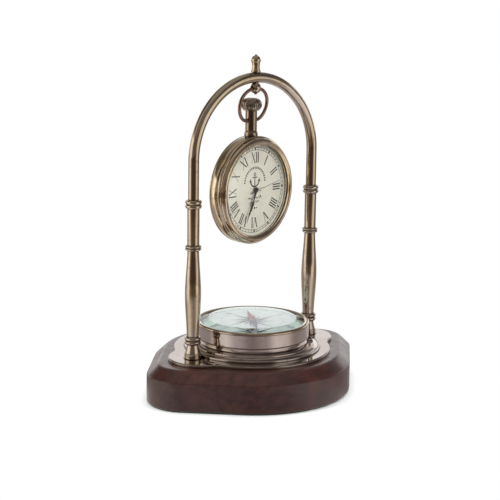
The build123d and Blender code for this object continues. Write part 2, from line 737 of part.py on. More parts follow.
# ================================================================ watch case
with BuildPart() as case_band:
    with BuildSketch(case_section):
        with BuildLine():
            Polyline(
                (CASE_BORE_R, -DIAL_THICKNESS),
                (CASE_BORE_R, CASE_BACK),
                (CASE_R - CASE_EDGE_R, CASE_BACK),
            )
            ThreePointArc(
                (CASE_R - CASE_EDGE_R, CASE_BACK),
                (CASE_R, (CASE_BACK + CASE_FRONT) / 2),
                (CASE_R - CASE_EDGE_R, CASE_FRONT),
            )
            Polyline(
                (CASE_R - CASE_EDGE_R, CASE_FRONT),
                (CASE_LIP_R, CASE_FRONT),
                (CASE_LIP_R, CASE_LIP_FRONT),
                (DIAL_SEAT_R, CASE_LIP_FRONT),
                (DIAL_SEAT_R, -DIAL_THICKNESS),
                (CASE_BORE_R, -DIAL_THICKNESS),
            )
        make_face()
    revolve(axis=case_axis)
    with BuildSketch(Plane(origin=PENDANT_FOOT + UP * CASE_Z, x_dir=ACROSS)):
        Circle(STEM_R + 2 * CLEAR_GAP)
    extrude(amount=CASE_R + 1, mode=Mode.SUBTRACT)
    with BuildSketch(Plane(origin=PENDANT_FOOT + UP * PENDANT_BOTTOM_Z, x_dir=ACROSS)):
        Circle(PENDANT_TENON_R)
    extrude(amount=CASE_R, mode=Mode.SUBTRACT)
save(case_band, "case_band")

with BuildPart() as front_bezel:
    with BuildSketch(case_section):
        with BuildLine():
            Polyline(
                (CASE_R - CASE_EDGE_R, BEZEL_BACK),
                (CASE_R - BEZEL_HEEL_IN, BEZEL_BACK + BEZEL_HEEL_UP),
                (CASE_R, BEZEL_BACK + BEZEL_HEEL_RISE),
            )
            ThreePointArc(
                (CASE_R, BEZEL_BACK + BEZEL_HEEL_RISE),
                (CASE_R - BEZEL_BEAD_SAG, BEZEL_BEAD - BEZEL_BEAD_ROUND),
                (CASE_R - BEZEL_BEAD_IN, BEZEL_BEAD),
            )
            Polyline(
                (CASE_R - BEZEL_BEAD_IN, BEZEL_BEAD),
                (BEZEL_GROOVE_R, BEZEL_GROOVE),
                (BEZEL_GROOVE_R + BEZEL_GROOVE_OUT, BEZEL_GROOVE + BEZEL_GROOVE_UP),
            )
            ThreePointArc(
                (BEZEL_GROOVE_R + BEZEL_GROOVE_OUT, BEZEL_GROOVE + BEZEL_GROOVE_UP),
                (BEZEL_CREST_R + BEZEL_SLOPE_OUT, BEZEL_CREST - BEZEL_SLOPE_DOWN),
                (BEZEL_CREST_R + BEZEL_CREST_HALF, BEZEL_CREST - BEZEL_CREST_SAG),
            )
            ThreePointArc(
                (BEZEL_CREST_R + BEZEL_CREST_HALF, BEZEL_CREST - BEZEL_CREST_SAG),
                (BEZEL_CREST_R, BEZEL_CREST),
                (BEZEL_CREST_R - BEZEL_CREST_HALF, BEZEL_CREST - BEZEL_CREST_SAG),
            )
            ThreePointArc(
                (BEZEL_CREST_R - BEZEL_CREST_HALF, BEZEL_CREST - BEZEL_CREST_SAG),
                (
                    (BEZEL_CREST_R + BEZEL_APERTURE_R) / 2 - BEZEL_COVE_IN,
                    (BEZEL_CREST + BEZEL_APERTURE) / 2 - BEZEL_CREST_SAG,
                ),
                (BEZEL_APERTURE_R, BEZEL_APERTURE),
            )
            Polyline(
                (BEZEL_APERTURE_R, BEZEL_APERTURE),
                (BEZEL_APERTURE_R, BEZEL_APERTURE - BEZEL_LIP),
                (CRYSTAL_SEAT_R, BEZEL_APERTURE - CRYSTAL_CLEAR_DEPTH),
                (CRYSTAL_SEAT_R, CRYSTAL_EDGE_BACK - GASKET_THICKNESS),
                (BEZEL_APERTURE_R + BEZEL_SHELF, CRYSTAL_EDGE_BACK - GASKET_THICKNESS),
                (BEZEL_APERTURE_R + BEZEL_SHELF, 0),
                (DIAL_SEAT_R - CLEAR_GAP, 0),
                (DIAL_SEAT_R - CLEAR_GAP, CASE_LIP_FRONT + CLEAR_GAP),
                (CASE_LIP_R + RUNNING_GAP, CASE_LIP_FRONT + CLEAR_GAP),
                (CASE_LIP_R + RUNNING_GAP, BEZEL_BACK),
                (CASE_R - CASE_EDGE_R, BEZEL_BACK),
            )
        make_face()
    revolve(axis=case_axis)
save(front_bezel, "front_bezel")

with BuildPart() as crystal_gasket:
    with BuildSketch(dial_plane.offset(CRYSTAL_EDGE_BACK - GASKET_THICKNESS)):
        Circle(CRYSTAL_R)
        Circle(CRYSTAL_R - GASKET_WIDTH, mode=Mode.SUBTRACT)
    extrude(amount=GASKET_THICKNESS)
save(crystal_gasket, "crystal_gasket")

with BuildPart() as watch_crystal:
    dome_rise = CRYSTAL_TOP - CRYSTAL_EDGE_FRONT
    dome_radius = (CRYSTAL_R**2 + dome_rise**2) / (2 * dome_rise)
    dome_centre = CRYSTAL_TOP - dome_radius
    dome_angle = degrees(asin(CRYSTAL_R / dome_radius))
    with BuildSketch(case_section):
        with BuildLine():
            Line((0, CRYSTAL_TOP - CRYSTAL_THICKNESS), (0, CRYSTAL_TOP))
            outer_dome = CenterArc((0, dome_centre), dome_radius, 90, -dome_angle)
            inner_dome = CenterArc(
                (0, dome_centre - CRYSTAL_THICKNESS), dome_radius, 90, -dome_angle
            )
            Line(outer_dome @ 1, inner_dome @ 1)
        make_face()
    revolve(axis=case_axis)
save(watch_crystal, "watch_crystal")

with BuildPart() as back_cover:
    with BuildSketch(case_section):
        with BuildLine():
            Polyline(
                (POLE_R, BACK_COVER_BULGE + BACK_COVER_THICKNESS),
                (0, BACK_COVER_BULGE + BACK_COVER_THICKNESS),
                (0, BACK_COVER_BULGE),
                (POLE_R, BACK_COVER_BULGE),
            )
            ThreePointArc(
                (POLE_R, BACK_COVER_BULGE),
                (CASE_R * 0.62, BACK_COVER_BULGE + 0.75),
                (CASE_R - 1.3, CASE_BACK - 1.15),
            )
            ThreePointArc(
                (CASE_R - 1.3, CASE_BACK - 1.15),
                (CASE_R - 0.3, CASE_BACK - 0.8),
                (CASE_R - CASE_EDGE_R, CASE_BACK),
            )
            Polyline(
                (CASE_R - CASE_EDGE_R, CASE_BACK),
                (CASE_BORE_R - RUNNING_GAP, CASE_BACK),
                (CASE_BORE_R - RUNNING_GAP, CASE_BACK + BACK_SNAP_DEPTH),
                (CASE_BORE_R - BACK_COVER_THICKNESS, CASE_BACK + BACK_SNAP_DEPTH),
                (CASE_BORE_R - BACK_COVER_THICKNESS, CASE_BACK - 0.6),
            )
            ThreePointArc(
                (CASE_BORE_R - BACK_COVER_THICKNESS, CASE_BACK - 0.6),
                (CASE_R * 0.6, BACK_COVER_BULGE + 0.7 + BACK_COVER_THICKNESS),
                (POLE_R, BACK_COVER_BULGE + BACK_COVER_THICKNESS),
            )
        make_face()
    revolve(axis=case_axis)
save(back_cover, "back_cover")

with BuildPart() as dial:
    with BuildSketch(dial_plane):
        Circle(DIAL_R)
        Circle(DIAL_HOLE_R, mode=Mode.SUBTRACT)
    extrude(amount=-DIAL_THICKNESS)
save(dial, "dial")

# ================================================================ movement
movement_back_plane = dial_plane.offset(MOVEMENT_BACK)
stem_pocket_middle = (STEM_POCKET_LOW + STEM_POCKET_HIGH) / 2
stem_pocket_height = STEM_POCKET_HIGH - STEM_POCKET_LOW
gear_line = radians(GEAR_LINE_ANGLE)
minute_wheel_place = (GEAR_DISTANCE * cos(gear_line), GEAR_DISTANCE * sin(gear_line))
coil_plane = Plane(
    origin=CASE_CENTRE
    + ACROSS * (COIL_U - COIL_LENGTH / 2)
    + UP * COIL_V
    + FORWARD * (MOVEMENT_BACK + COIL_R + CLEAR_GAP),
    x_dir=UP,
    z_dir=ACROSS,
)
can_plane = Plane(
    origin=CASE_CENTRE
    + ACROSS * CAN_U
    + UP * (CAN_V - CAN_LENGTH / 2)
    + FORWARD * (MOVEMENT_BACK + CAN_R + CLEAR_GAP),
    x_dir=ACROSS,
    z_dir=UP,
)

with BuildPart() as movement_holder:
    with BuildSketch(dial_plane.offset(HOLDER_BACK)):
        Circle(CASE_BORE_R - BACK_COVER_THICKNESS - 2 * CLEAR_GAP)
        Circle(MOVEMENT_R + CLEAR_GAP, mode=Mode.SUBTRACT)
        with PolarLocations(0, 3, start_angle=30):
            with Locations((21.2, 0)):
                SlotCenterToCenter(13.0, 8.0, rotation=90, mode=Mode.SUBTRACT)
    extrude(amount=HOLDER_FRONT - HOLDER_BACK)
    with BuildSketch(Plane(origin=PENDANT_FOOT + UP * CASE_Z, x_dir=ACROSS)):
        Circle(STEM_R + 2 * CLEAR_GAP)
    extrude(amount=CASE_R, mode=Mode.SUBTRACT)
save(movement_holder, "movement_holder")

with BuildPart() as movement_body:
    with BuildSketch(movement_back_plane):
        Circle(MOVEMENT_R)
    extrude(amount=MOVEMENT_FRONT - MOVEMENT_BACK)
    with BuildSketch(dial_plane.offset(MOVEMENT_FRONT)):
        with Locations(minute_wheel_place):
            Circle(MINUTE_POST_R)
    extrude(amount=MINUTE_PINION_FRONT - MOVEMENT_FRONT)
    with BuildSketch(dial_plane.offset(MOVEMENT_FRONT)):
        Circle(SECOND_ARBOR_R + RUNNING_GAP)
    extrude(amount=MOVEMENT_BACK - MOVEMENT_FRONT, mode=Mode.SUBTRACT)
    with BuildSketch(movement_back_plane):
        with Locations((0, stem_pocket_middle)):
            Rectangle(STEM_POCKET_WIDTH, stem_pocket_height)
    extrude(amount=STEM_POCKET_FRONT - MOVEMENT_BACK, mode=Mode.SUBTRACT)
    with BuildSketch(movement_back_plane):
        with Locations((CELL_U, CELL_V)):
            Circle(CELL_R + CLEAR_GAP)
    extrude(amount=CELL_THICKNESS + CLEAR_GAP, mode=Mode.SUBTRACT)
    with BuildSketch(movement_back_plane):
        with Locations((COIL_U, COIL_V)):
            Rectangle(COIL_LENGTH + 2 * CLEAR_GAP, 2 * COIL_R + 2 * CLEAR_GAP)
        with Locations((CAN_U, CAN_V)):
            Rectangle(2 * CAN_R + 2 * CLEAR_GAP, CAN_LENGTH + 2 * CLEAR_GAP)
    extrude(amount=2 * COIL_R + 2 * CLEAR_GAP, mode=Mode.SUBTRACT)
    with BuildSketch(Plane(origin=PENDANT_FOOT + UP * CASE_Z, x_dir=ACROSS)):
        Circle(STEM_R + CLEAR_GAP)
    extrude(amount=CASE_R, mode=Mode.SUBTRACT)
save(movement_body, "movement_body")

with BuildPart() as circuit_board:
    with BuildSketch(movement_back_plane):
        Circle(MOVEMENT_R - 0.3)
        with Locations((CELL_U, CELL_V)):
            Circle(CELL_R + 2 * CLEAR_GAP, mode=Mode.SUBTRACT)
    extrude(amount=-BOARD_THICKNESS)
save(circuit_board, "circuit_board")

with BuildPart() as button_cell:
    with BuildSketch(movement_back_plane):
        with Locations((CELL_U, CELL_V)):
            Circle(CELL_R)
    extrude(amount=CELL_THICKNESS)
    fillet(button_cell.edges().filter_by(GeomType.CIRCLE), 0.25)
save(button_cell, "button_cell")

with BuildPart() as cell_strap:
    with BuildSketch(movement_back_plane.offset(-BOARD_THICKNESS - CLEAR_GAP)):
        with Locations((CELL_U, CELL_V)):
            SlotOverall(3 * CELL_R, CELL_R, rotation=60)
    extrude(amount=-BOARD_THICKNESS / 2)
save(cell_strap, "cell_strap")

with BuildPart() as drive_coil:
    with BuildSketch(coil_plane):
        Circle(COIL_R)
    extrude(amount=COIL_LENGTH)
save(drive_coil, "drive_coil")

with BuildPart() as quartz_can:
    with BuildSketch(can_plane):
        Circle(CAN_R)
    extrude(amount=CAN_LENGTH)
save(quartz_can, "quartz_can")

with BuildPart() as setting_lever:
    lever_gap = (STEM_GROOVE_HIGH - STEM_GROOVE_LOW - LEVER_THICKNESS) / 2
    lever_plane = Plane(
        origin=PENDANT_FOOT + UP * (CASE_Z + STEM_GROOVE_LOW + lever_gap),
        x_dir=ACROSS,
        z_dir=UP,
    )
    lever_front = STEM_POCKET_FRONT + PENDANT_BACK - CLEAR_GAP
    lever_back = MOVEMENT_BACK + PENDANT_BACK + CLEAR_GAP
    with BuildSketch(lever_plane):
        with Locations((0, -(lever_front + lever_back) / 2)):
            Rectangle(LEVER_WIDTH, lever_front - lever_back)
        with Locations((0, -lever_back / 2)):
            Rectangle(2 * STEM_GROOVE_R + 2 * RUNNING_GAP, -lever_back, mode=Mode.SUBTRACT)
        Circle(STEM_GROOVE_R + RUNNING_GAP, mode=Mode.SUBTRACT)
    extrude(amount=LEVER_THICKNESS)
save(setting_lever, "setting_lever")


# ================================================================ motion work
def involute(angle):
    return tan(angle) - angle


def gear_outline(teeth, module, phase):
    """Closed involute outline with one tooth centred on the phase angle (degrees)."""
    pitch_r = module * teeth / 2
    base_r = pitch_r * cos(PRESSURE_ANGLE)
    tip_r = pitch_r + ADDENDUM * module
    root_r = pitch_r - DEDENDUM * module
    flank_radii = [max(base_r, root_r), pitch_r, (pitch_r + tip_r) / 2, tip_r]
    half_tooth = (pi / 2 - TOOTH_THINNING) / teeth
    flank = []
    for radius in flank_radii:
        roll = involute(acos(min(1, base_r / radius)))
        flank.append((radius, half_tooth + involute(PRESSURE_ANGLE) - roll))
    flank.insert(0, (root_r, flank[0][1]))
    points = []
    for tooth in range(teeth):
        middle = radians(phase) + 2 * pi * tooth / teeth
        for radius, half_angle in flank:
            points.append((radius * cos(middle - half_angle), radius * sin(middle - half_angle)))
        for radius, half_angle in reversed(flank):
            points.append((radius * cos(middle + half_angle), radius * sin(middle + half_angle)))
    with BuildLine() as outline:
        Polyline(*points, close=True)
    return outline.line


with BuildPart() as cannon_pinion:
    with BuildSketch(dial_plane.offset(FIRST_GEAR_BACK)):
        add(gear_outline(CANNON_TEETH, FIRST_MODULE, GEAR_LINE_ANGLE))
        make_face()
    extrude(amount=FIRST_GEAR_FRONT - FIRST_GEAR_BACK)
    with BuildSketch(dial_plane.offset(FIRST_GEAR_FRONT)):
        Circle(CANNON_TUBE_R)
    extrude(amount=MINUTE_HAND_LEVEL + HAND_THICKNESS - FIRST_GEAR_FRONT)
    with BuildSketch(dial_plane.offset(FIRST_GEAR_BACK)):
        Circle(SECOND_ARBOR_R + RUNNING_GAP)
    extrude(amount=MINUTE_HAND_LEVEL + 1 - FIRST_GEAR_BACK, mode=Mode.SUBTRACT)
save(cannon_pinion, "cannon_pinion")

with BuildPart() as minute_wheel:
    with BuildSketch(dial_plane.offset(FIRST_GEAR_BACK)):
        wheel_phase = GEAR_LINE_ANGLE + 180 + 180 / MINUTE_WHEEL_TEETH
        with Locations(minute_wheel_place):
            add(gear_outline(MINUTE_WHEEL_TEETH, FIRST_MODULE, wheel_phase))
        make_face()
    extrude(amount=FIRST_GEAR_FRONT - FIRST_GEAR_BACK)
    with BuildSketch(dial_plane.offset(FIRST_GEAR_FRONT)):
        with Locations(minute_wheel_place):
            add(gear_outline(MINUTE_PINION_TEETH, SECOND_MODULE, GEAR_LINE_ANGLE + 180))
        make_face()
    extrude(amount=MINUTE_PINION_FRONT - FIRST_GEAR_FRONT)
    with BuildSketch(dial_plane.offset(FIRST_GEAR_BACK)):
        with Locations(minute_wheel_place):
            Circle(MINUTE_POST_R + RUNNING_GAP)
    extrude(amount=MINUTE_PINION_FRONT - FIRST_GEAR_BACK, mode=Mode.SUBTRACT)
save(minute_wheel, "minute_wheel")

with BuildPart() as hour_wheel:
    with BuildSketch(dial_plane.offset(HOUR_WHEEL_BACK)):
        add(gear_outline(HOUR_WHEEL_TEETH, SECOND_MODULE, GEAR_LINE_ANGLE + 180 / HOUR_WHEEL_TEETH))
        make_face()
    extrude(amount=HOUR_WHEEL_FRONT - HOUR_WHEEL_BACK)
    with BuildSketch(dial_plane.offset(HOUR_WHEEL_FRONT)):
        Circle(HOUR_TUBE_R)
    extrude(amount=HOUR_HAND_LEVEL + HAND_THICKNESS - HOUR_WHEEL_FRONT)
    with BuildSketch(dial_plane.offset(HOUR_WHEEL_BACK)):
        Circle(CANNON_TUBE_R + RUNNING_GAP)
    extrude(amount=HOUR_HAND_LEVEL + 1 - HOUR_WHEEL_BACK, mode=Mode.SUBTRACT)
save(hour_wheel, "hour_wheel")

with BuildPart() as second_arbor:
    with BuildSketch(dial_plane.offset(MOVEMENT_BACK + CLEAR_GAP)):
        Circle(SECOND_ARBOR_R)
    extrude(amount=SECOND_HAND_LEVEL + SECOND_HAND_THICKNESS - MOVEMENT_BACK - CLEAR_GAP)
save(second_arbor, "second_arbor")


# ================================================================ hands
def hand_plane(level, turn):
    """Plane at a level above the dial whose Y points where the hand points."""
    direction = ACROSS * sin(turn) + UP * cos(turn)
    return Plane(
        origin=CASE_CENTRE + FORWARD * level,
        x_dir=direction.cross(FORWARD),
        z_dir=FORWARD,
    )


minute_turn = 2 * pi * (TIME_MINUTES + TIME_SECONDS / 60) / 60
hour_turn = 2 * pi * TIME_HOURS / 12 + minute_turn / 12
second_turn = 2 * pi * TIME_SECONDS / 60


def leaf_outline(length, root_half, belly_at, belly_half, neck_half):
    """Slim hand that swells once near its point."""
    right = [
        (root_half, 0),
        (neck_half, belly_at * LEAF_START),
        (belly_half, belly_at),
        (neck_half, belly_at + (length - belly_at) * LEAF_END),
        (HAND_TIP_HALF, length),
    ]
    left = [(-x, y) for x, y in reversed(right)]
    with BuildLine() as outline:
        Line(right[0], right[1])
        Spline(*right[1:4], tangents=[(LEAF_SLOPE, 1), (0, 1), (-LEAF_SLOPE, 1)])
        Line(right[3], right[4])
        Line(right[4], left[0])
        Line(left[0], left[1])
        Spline(*left[1:4], tangents=[(-LEAF_SLOPE, -1), (0, -1), (LEAF_SLOPE, -1)])
        Line(left[3], left[4])
        Line(left[4], right[0])
    return outline.line


with BuildPart() as hour_hand:
    with BuildSketch(hand_plane(HOUR_HAND_LEVEL, hour_turn)):
        add(
            leaf_outline(
                HOUR_HAND_LENGTH,
                HOUR_ROOT_HALF,
                HOUR_BELLY_AT,
                HOUR_BELLY_HALF,
                HOUR_NECK_HALF,
            )
        )
        make_face()
        Circle(HOUR_HUB_R)
        Circle(HOUR_TUBE_R, mode=Mode.SUBTRACT)
    extrude(amount=HAND_THICKNESS)
save(hour_hand, "hour_hand")

with BuildPart() as minute_hand:
    with BuildSketch(hand_plane(MINUTE_HAND_LEVEL, minute_turn)):
        add(
            leaf_outline(
                MINUTE_HAND_LENGTH,
                MINUTE_ROOT_HALF,
                MINUTE_BELLY_AT,
                MINUTE_BELLY_HALF,
                MINUTE_NECK_HALF,
            )
        )
        make_face()
        Circle(MINUTE_HUB_R)
        Circle(CANNON_TUBE_R, mode=Mode.SUBTRACT)
    extrude(amount=HAND_THICKNESS)
save(minute_hand, "minute_hand")

with BuildPart() as second_hand:
    with BuildSketch(hand_plane(SECOND_HAND_LEVEL, second_turn)):
        with BuildLine():
            Polyline(
                (SECOND_TAIL_HALF, -SECOND_HAND_TAIL),
                (SECOND_MIDDLE_HALF, 0),
                (HAND_TIP_HALF, SECOND_HAND_LENGTH),
                (-HAND_TIP_HALF, SECOND_HAND_LENGTH),
                (-SECOND_MIDDLE_HALF, 0),
                (-SECOND_TAIL_HALF, -SECOND_HAND_TAIL),
                close=True,
            )
        make_face()
        Circle(SECOND_HUB_R)
        Circle(SECOND_ARBOR_R, mode=Mode.SUBTRACT)
    extrude(amount=SECOND_HAND_THICKNESS)
save(second_hand, "second_hand")

# ================================================================ compass
compass_axis = Axis.Z
card_z = DECK_Z + COMPASS_FLOOR_TOP
needle_z = DECK_Z + NEEDLE_LEVEL

with BuildPart() as compass_flange:
    with BuildSketch(Plane.XZ):
        with BuildLine():
            Polyline(
                (FLANGE_BORE_R, DECK_Z + COMPASS_NECK_TOP),
                (FLANGE_BORE_R, DECK_Z),
                (FLANGE_R, DECK_Z),
                (FLANGE_R, DECK_Z + FLANGE_LOW - FLANGE_EDGE_DROP),
            )
            ThreePointArc(
                (FLANGE_R, DECK_Z + FLANGE_LOW - FLANGE_EDGE_DROP),
                (FLANGE_R - FLANGE_EDGE_MID, DECK_Z + FLANGE_LOW - FLANGE_EDGE_SAG),
                (FLANGE_R - FLANGE_EDGE_RUN, DECK_Z + FLANGE_LOW),
            )
            ThreePointArc(
                (FLANGE_R - FLANGE_EDGE_RUN, DECK_Z + FLANGE_LOW),
                (FLANGE_STEP_R + FLANGE_COVE_RUN, DECK_Z + FLANGE_LOW + FLANGE_COVE_SAG),
                (FLANGE_STEP_R, DECK_Z + FLANGE_LOW + FLANGE_COVE_RISE),
            )
            Line(
                (FLANGE_STEP_R, DECK_Z + FLANGE_LOW + FLANGE_COVE_RISE),
                (FLANGE_STEP_R, DECK_Z + FLANGE_HIGH - FLANGE_EDGE_DROP),
            )
            ThreePointArc(
                (FLANGE_STEP_R, DECK_Z + FLANGE_HIGH - FLANGE_EDGE_DROP),
                (FLANGE_STEP_R - FLANGE_EDGE_MID, DECK_Z + FLANGE_HIGH - FLANGE_EDGE_SAG),
                (FLANGE_STEP_R - FLANGE_EDGE_RUN, DECK_Z + FLANGE_HIGH),
            )
            Line(
                (FLANGE_STEP_R - FLANGE_EDGE_RUN, DECK_Z + FLANGE_HIGH),
                (COMPASS_NECK_R + NECK_COVE_RUN, DECK_Z + FLANGE_HIGH + NECK_COVE_SAG),
            )
            ThreePointArc(
                (COMPASS_NECK_R + NECK_COVE_RUN, DECK_Z + FLANGE_HIGH + NECK_COVE_SAG),
                (COMPASS_NECK_R + FLANGE_COVE_SAG, DECK_Z + FLANGE_HIGH + NECK_COVE_MID),
                (COMPASS_NECK_R, DECK_Z + FLANGE_HIGH + NECK_COVE_RISE),
            )
            Polyline(
                (COMPASS_NECK_R, DECK_Z + FLANGE_HIGH + NECK_COVE_RISE),
                (COMPASS_NECK_R, DECK_Z + COMPASS_NECK_TOP),
                (FLANGE_BORE_R, DECK_Z + COMPASS_NECK_TOP),
            )
        make_face()
    revolve(axis=compass_axis)
save(compass_flange, "compass_flange")

with BuildPart() as compass_case:
    with BuildSketch(Plane.XZ):
        with BuildLine():
            Polyline(
                (BOLT_R, DECK_Z + COMPASS_NECK_TOP),
                (COMPASS_R - 1.0, DECK_Z + COMPASS_NECK_TOP),
            )
            ThreePointArc(
                (COMPASS_R - 1.0, DECK_Z + COMPASS_NECK_TOP),
                (COMPASS_R - 0.29, DECK_Z + COMPASS_NECK_TOP + 0.29),
                (COMPASS_R, DECK_Z + COMPASS_NECK_TOP + 1.0),
            )
            Polyline(
                (COMPASS_R, DECK_Z + COMPASS_NECK_TOP + 1.0),
                (COMPASS_R, DECK_Z + COMPASS_CASE_TOP),
                (COMPASS_GLASS_SEAT_R, DECK_Z + COMPASS_CASE_TOP),
                (COMPASS_GLASS_SEAT_R, DECK_Z + GLASS_SEAT),
                (COMPASS_WELL_R, DECK_Z + GLASS_SEAT),
                (COMPASS_WELL_R, card_z),
                (BOLT_R, card_z),
                (BOLT_R, DECK_Z + COMPASS_NECK_TOP),
            )
        make_face()
    revolve(axis=compass_axis)
save(compass_case, "compass_case")

with BuildPart() as compass_rim:
    with BuildSketch(Plane.XZ):
        with BuildLine():
            Polyline(
                (RIM_INNER_R, DECK_Z + RIM_TOP - 0.45),
                (RIM_INNER_R, DECK_Z + RIM_TOP - 0.58),
                (COMPASS_GLASS_SEAT_R, DECK_Z + GLASS_EDGE_TOP + 0.05),
                (COMPASS_GLASS_SEAT_R, DECK_Z + COMPASS_CASE_TOP),
                (COMPASS_R, DECK_Z + COMPASS_CASE_TOP),
                (RIM_R, DECK_Z + COMPASS_CASE_TOP + 0.35),
            )
            ThreePointArc(
                (RIM_R, DECK_Z + COMPASS_CASE_TOP + 0.35),
                (RIM_R - 0.35, DECK_Z + RIM_TOP - 0.35),
                (RIM_R - 1.2, DECK_Z + RIM_TOP),
            )
            ThreePointArc(
                (RIM_R - 1.2, DECK_Z + RIM_TOP),
                ((RIM_R - 1.2 + RIM_INNER_R) / 2, DECK_Z + RIM_TOP - 0.12),
                (RIM_INNER_R, DECK_Z + RIM_TOP - 0.45),
            )
        make_face()
    revolve(axis=compass_axis)
save(compass_rim, "compass_rim")

with BuildPart() as compass_gasket:
    with BuildSketch(Plane.XY.offset(DECK_Z + GLASS_SEAT)):
        Circle(GLASS_R)
        Circle(COMPASS_WELL_R, mode=Mode.SUBTRACT)
    extrude(amount=COMPASS_GASKET_TOP - GLASS_SEAT)
save(compass_gasket, "compass_gasket")

with BuildPart() as compass_glass:
    with BuildSketch(Plane.XZ):
        with BuildLine():
            Polyline(
                (0, DECK_Z + COMPASS_GASKET_TOP),
                (GLASS_R, DECK_Z + COMPASS_GASKET_TOP),
                (GLASS_R, DECK_Z + GLASS_EDGE_TOP),
                (GLASS_FLAT_R, DECK_Z + GLASS_TOP),
                (0, DECK_Z + GLASS_TOP),
                close=True,
            )
        make_face()
    revolve(axis=compass_axis)
save(compass_glass, "compass_glass")

with BuildPart() as compass_card:
    with BuildSketch(Plane.XY.offset(card_z)):
        Circle(CARD_R)
    extrude(amount=CARD_THICKNESS)
save(compass_card, "compass_card")

with BuildPart() as needle_pivot:
    pivot_foot_z = card_z + CARD_THICKNESS
    with BuildSketch(Plane.XZ):
        with BuildLine():
            Polyline(
                (0, pivot_foot_z),
                (PIVOT_FOOT_R, pivot_foot_z),
                (PIVOT_FOOT_R, pivot_foot_z + 0.4),
                (PIVOT_R, pivot_foot_z + 0.9),
                (PIVOT_R, needle_z),
                (0, needle_z + 1.0),
                close=True,
            )
        make_face()
    revolve(axis=compass_axis)
save(needle_pivot, "needle_pivot")

bearing = radians(NEEDLE_BEARING)
needle_plane = Plane(
    origin=(0, 0, needle_z), x_dir=(cos(bearing), -sin(bearing), 0), z_dir=(0, 0, 1)
)
with BuildPart() as compass_needle:
    with BuildSketch(needle_plane):
        with BuildLine():
            Polyline(
                (0, NEEDLE_HALF_LENGTH),
                (NEEDLE_HALF_WIDTH, 0),
                (0, -NEEDLE_HALF_LENGTH),
                (-NEEDLE_HALF_WIDTH, 0),
                close=True,
            )
        make_face()
        Circle(NEEDLE_HUB_R)
        Circle(NEEDLE_CAP_R, mode=Mode.SUBTRACT)
    extrude(amount=NEEDLE_THICKNESS)
save(compass_needle, "compass_needle")

with BuildPart() as needle_cap:
    with BuildSketch(Plane.XZ):
        with BuildLine():
            Polyline(
                (0, needle_z + 1.05),
                (PIVOT_R + 0.4, needle_z - 0.3),
                (NEEDLE_CAP_R, needle_z - 0.3),
                (NEEDLE_CAP_R, needle_z + 0.7),
                (0.6, needle_z + 1.7),
                (0, needle_z + 1.7),
                close=True,
            )
        make_face()
    revolve(axis=compass_axis)
save(needle_cap, "needle_cap")

with BuildPart() as compass_bolt:
    with BuildSketch(Plane.XY.offset(BOLT_POCKET_TOP_Z - BOLT_HEAD_HEIGHT)):
        Circle(BOLT_HEAD_R)
    extrude(amount=BOLT_HEAD_HEIGHT)
    with BuildSketch(Plane.XY.offset(BOLT_POCKET_TOP_Z)):
        Circle(BOLT_R)
    extrude(amount=card_z - BOLT_POCKET_TOP_Z)
    with BuildSketch(Plane.XY.offset(BOLT_POCKET_TOP_Z - BOLT_HEAD_HEIGHT)):
        Rectangle(2 * BOLT_HEAD_R, 0.7)
    extrude(amount=0.8, mode=Mode.SUBTRACT)
save(compass_bolt, "compass_bolt")
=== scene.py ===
"""The looks of a ships deck clock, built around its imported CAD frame.

Blender units are metres, Z up, front towards -Y. Sizes named here are in millimetres
unless a comment says otherwise.
"""

import json
import math

import bmesh
import bpy
from mathutils import Matrix, Vector


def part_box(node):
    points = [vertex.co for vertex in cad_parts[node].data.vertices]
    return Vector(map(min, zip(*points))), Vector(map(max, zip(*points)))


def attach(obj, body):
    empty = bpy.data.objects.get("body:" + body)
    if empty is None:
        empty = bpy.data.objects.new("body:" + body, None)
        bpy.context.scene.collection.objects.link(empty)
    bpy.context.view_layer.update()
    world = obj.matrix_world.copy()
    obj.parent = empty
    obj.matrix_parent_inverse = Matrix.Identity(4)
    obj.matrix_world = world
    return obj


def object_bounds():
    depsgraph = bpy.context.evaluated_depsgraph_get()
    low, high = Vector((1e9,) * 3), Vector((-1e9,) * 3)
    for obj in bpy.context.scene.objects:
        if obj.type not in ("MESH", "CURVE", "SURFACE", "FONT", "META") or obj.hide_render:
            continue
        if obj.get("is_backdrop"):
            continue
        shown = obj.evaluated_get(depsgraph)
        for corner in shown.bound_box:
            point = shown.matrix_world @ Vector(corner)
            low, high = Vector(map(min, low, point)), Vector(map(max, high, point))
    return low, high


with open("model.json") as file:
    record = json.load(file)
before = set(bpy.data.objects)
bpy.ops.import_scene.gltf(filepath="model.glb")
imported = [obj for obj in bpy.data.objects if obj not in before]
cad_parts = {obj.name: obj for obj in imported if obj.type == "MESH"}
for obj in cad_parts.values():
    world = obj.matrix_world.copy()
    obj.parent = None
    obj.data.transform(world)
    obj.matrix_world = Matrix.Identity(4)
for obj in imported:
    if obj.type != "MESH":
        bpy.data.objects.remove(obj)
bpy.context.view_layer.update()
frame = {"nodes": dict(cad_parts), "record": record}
nodes = frame["nodes"]

MM = 0.001

# ---------------------------------------------------------------- where things are
HANG_TWIST = math.radians(7.5)  # the hanging watch faces a little to the right
DIAL_CENTRE = Vector((0, 0, 124.0)) * MM
DIAL_ACROSS = Vector((math.cos(HANG_TWIST), math.sin(HANG_TWIST), 0))
DIAL_FORWARD = Vector((math.sin(HANG_TWIST), -math.cos(HANG_TWIST), 0))
CARD_TOP_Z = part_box("compass_card")[1].z / MM
CARD_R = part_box("compass_card")[1].x / MM

# ---------------------------------------------------------------- camera, in metres
CAMERA_AZIMUTH = math.radians(-40.95)
CAMERA_ELEVATION = math.radians(11.71)
CAMERA_ROLL = math.radians(0.78)
CAMERA_DISTANCE = 0.900
CAMERA_TARGET = Vector((-0.0027, 0.0, 0.0870))
CAMERA_LENS = 105.8


# ================================================================ shader building
EDGE_SAMPLES = 6


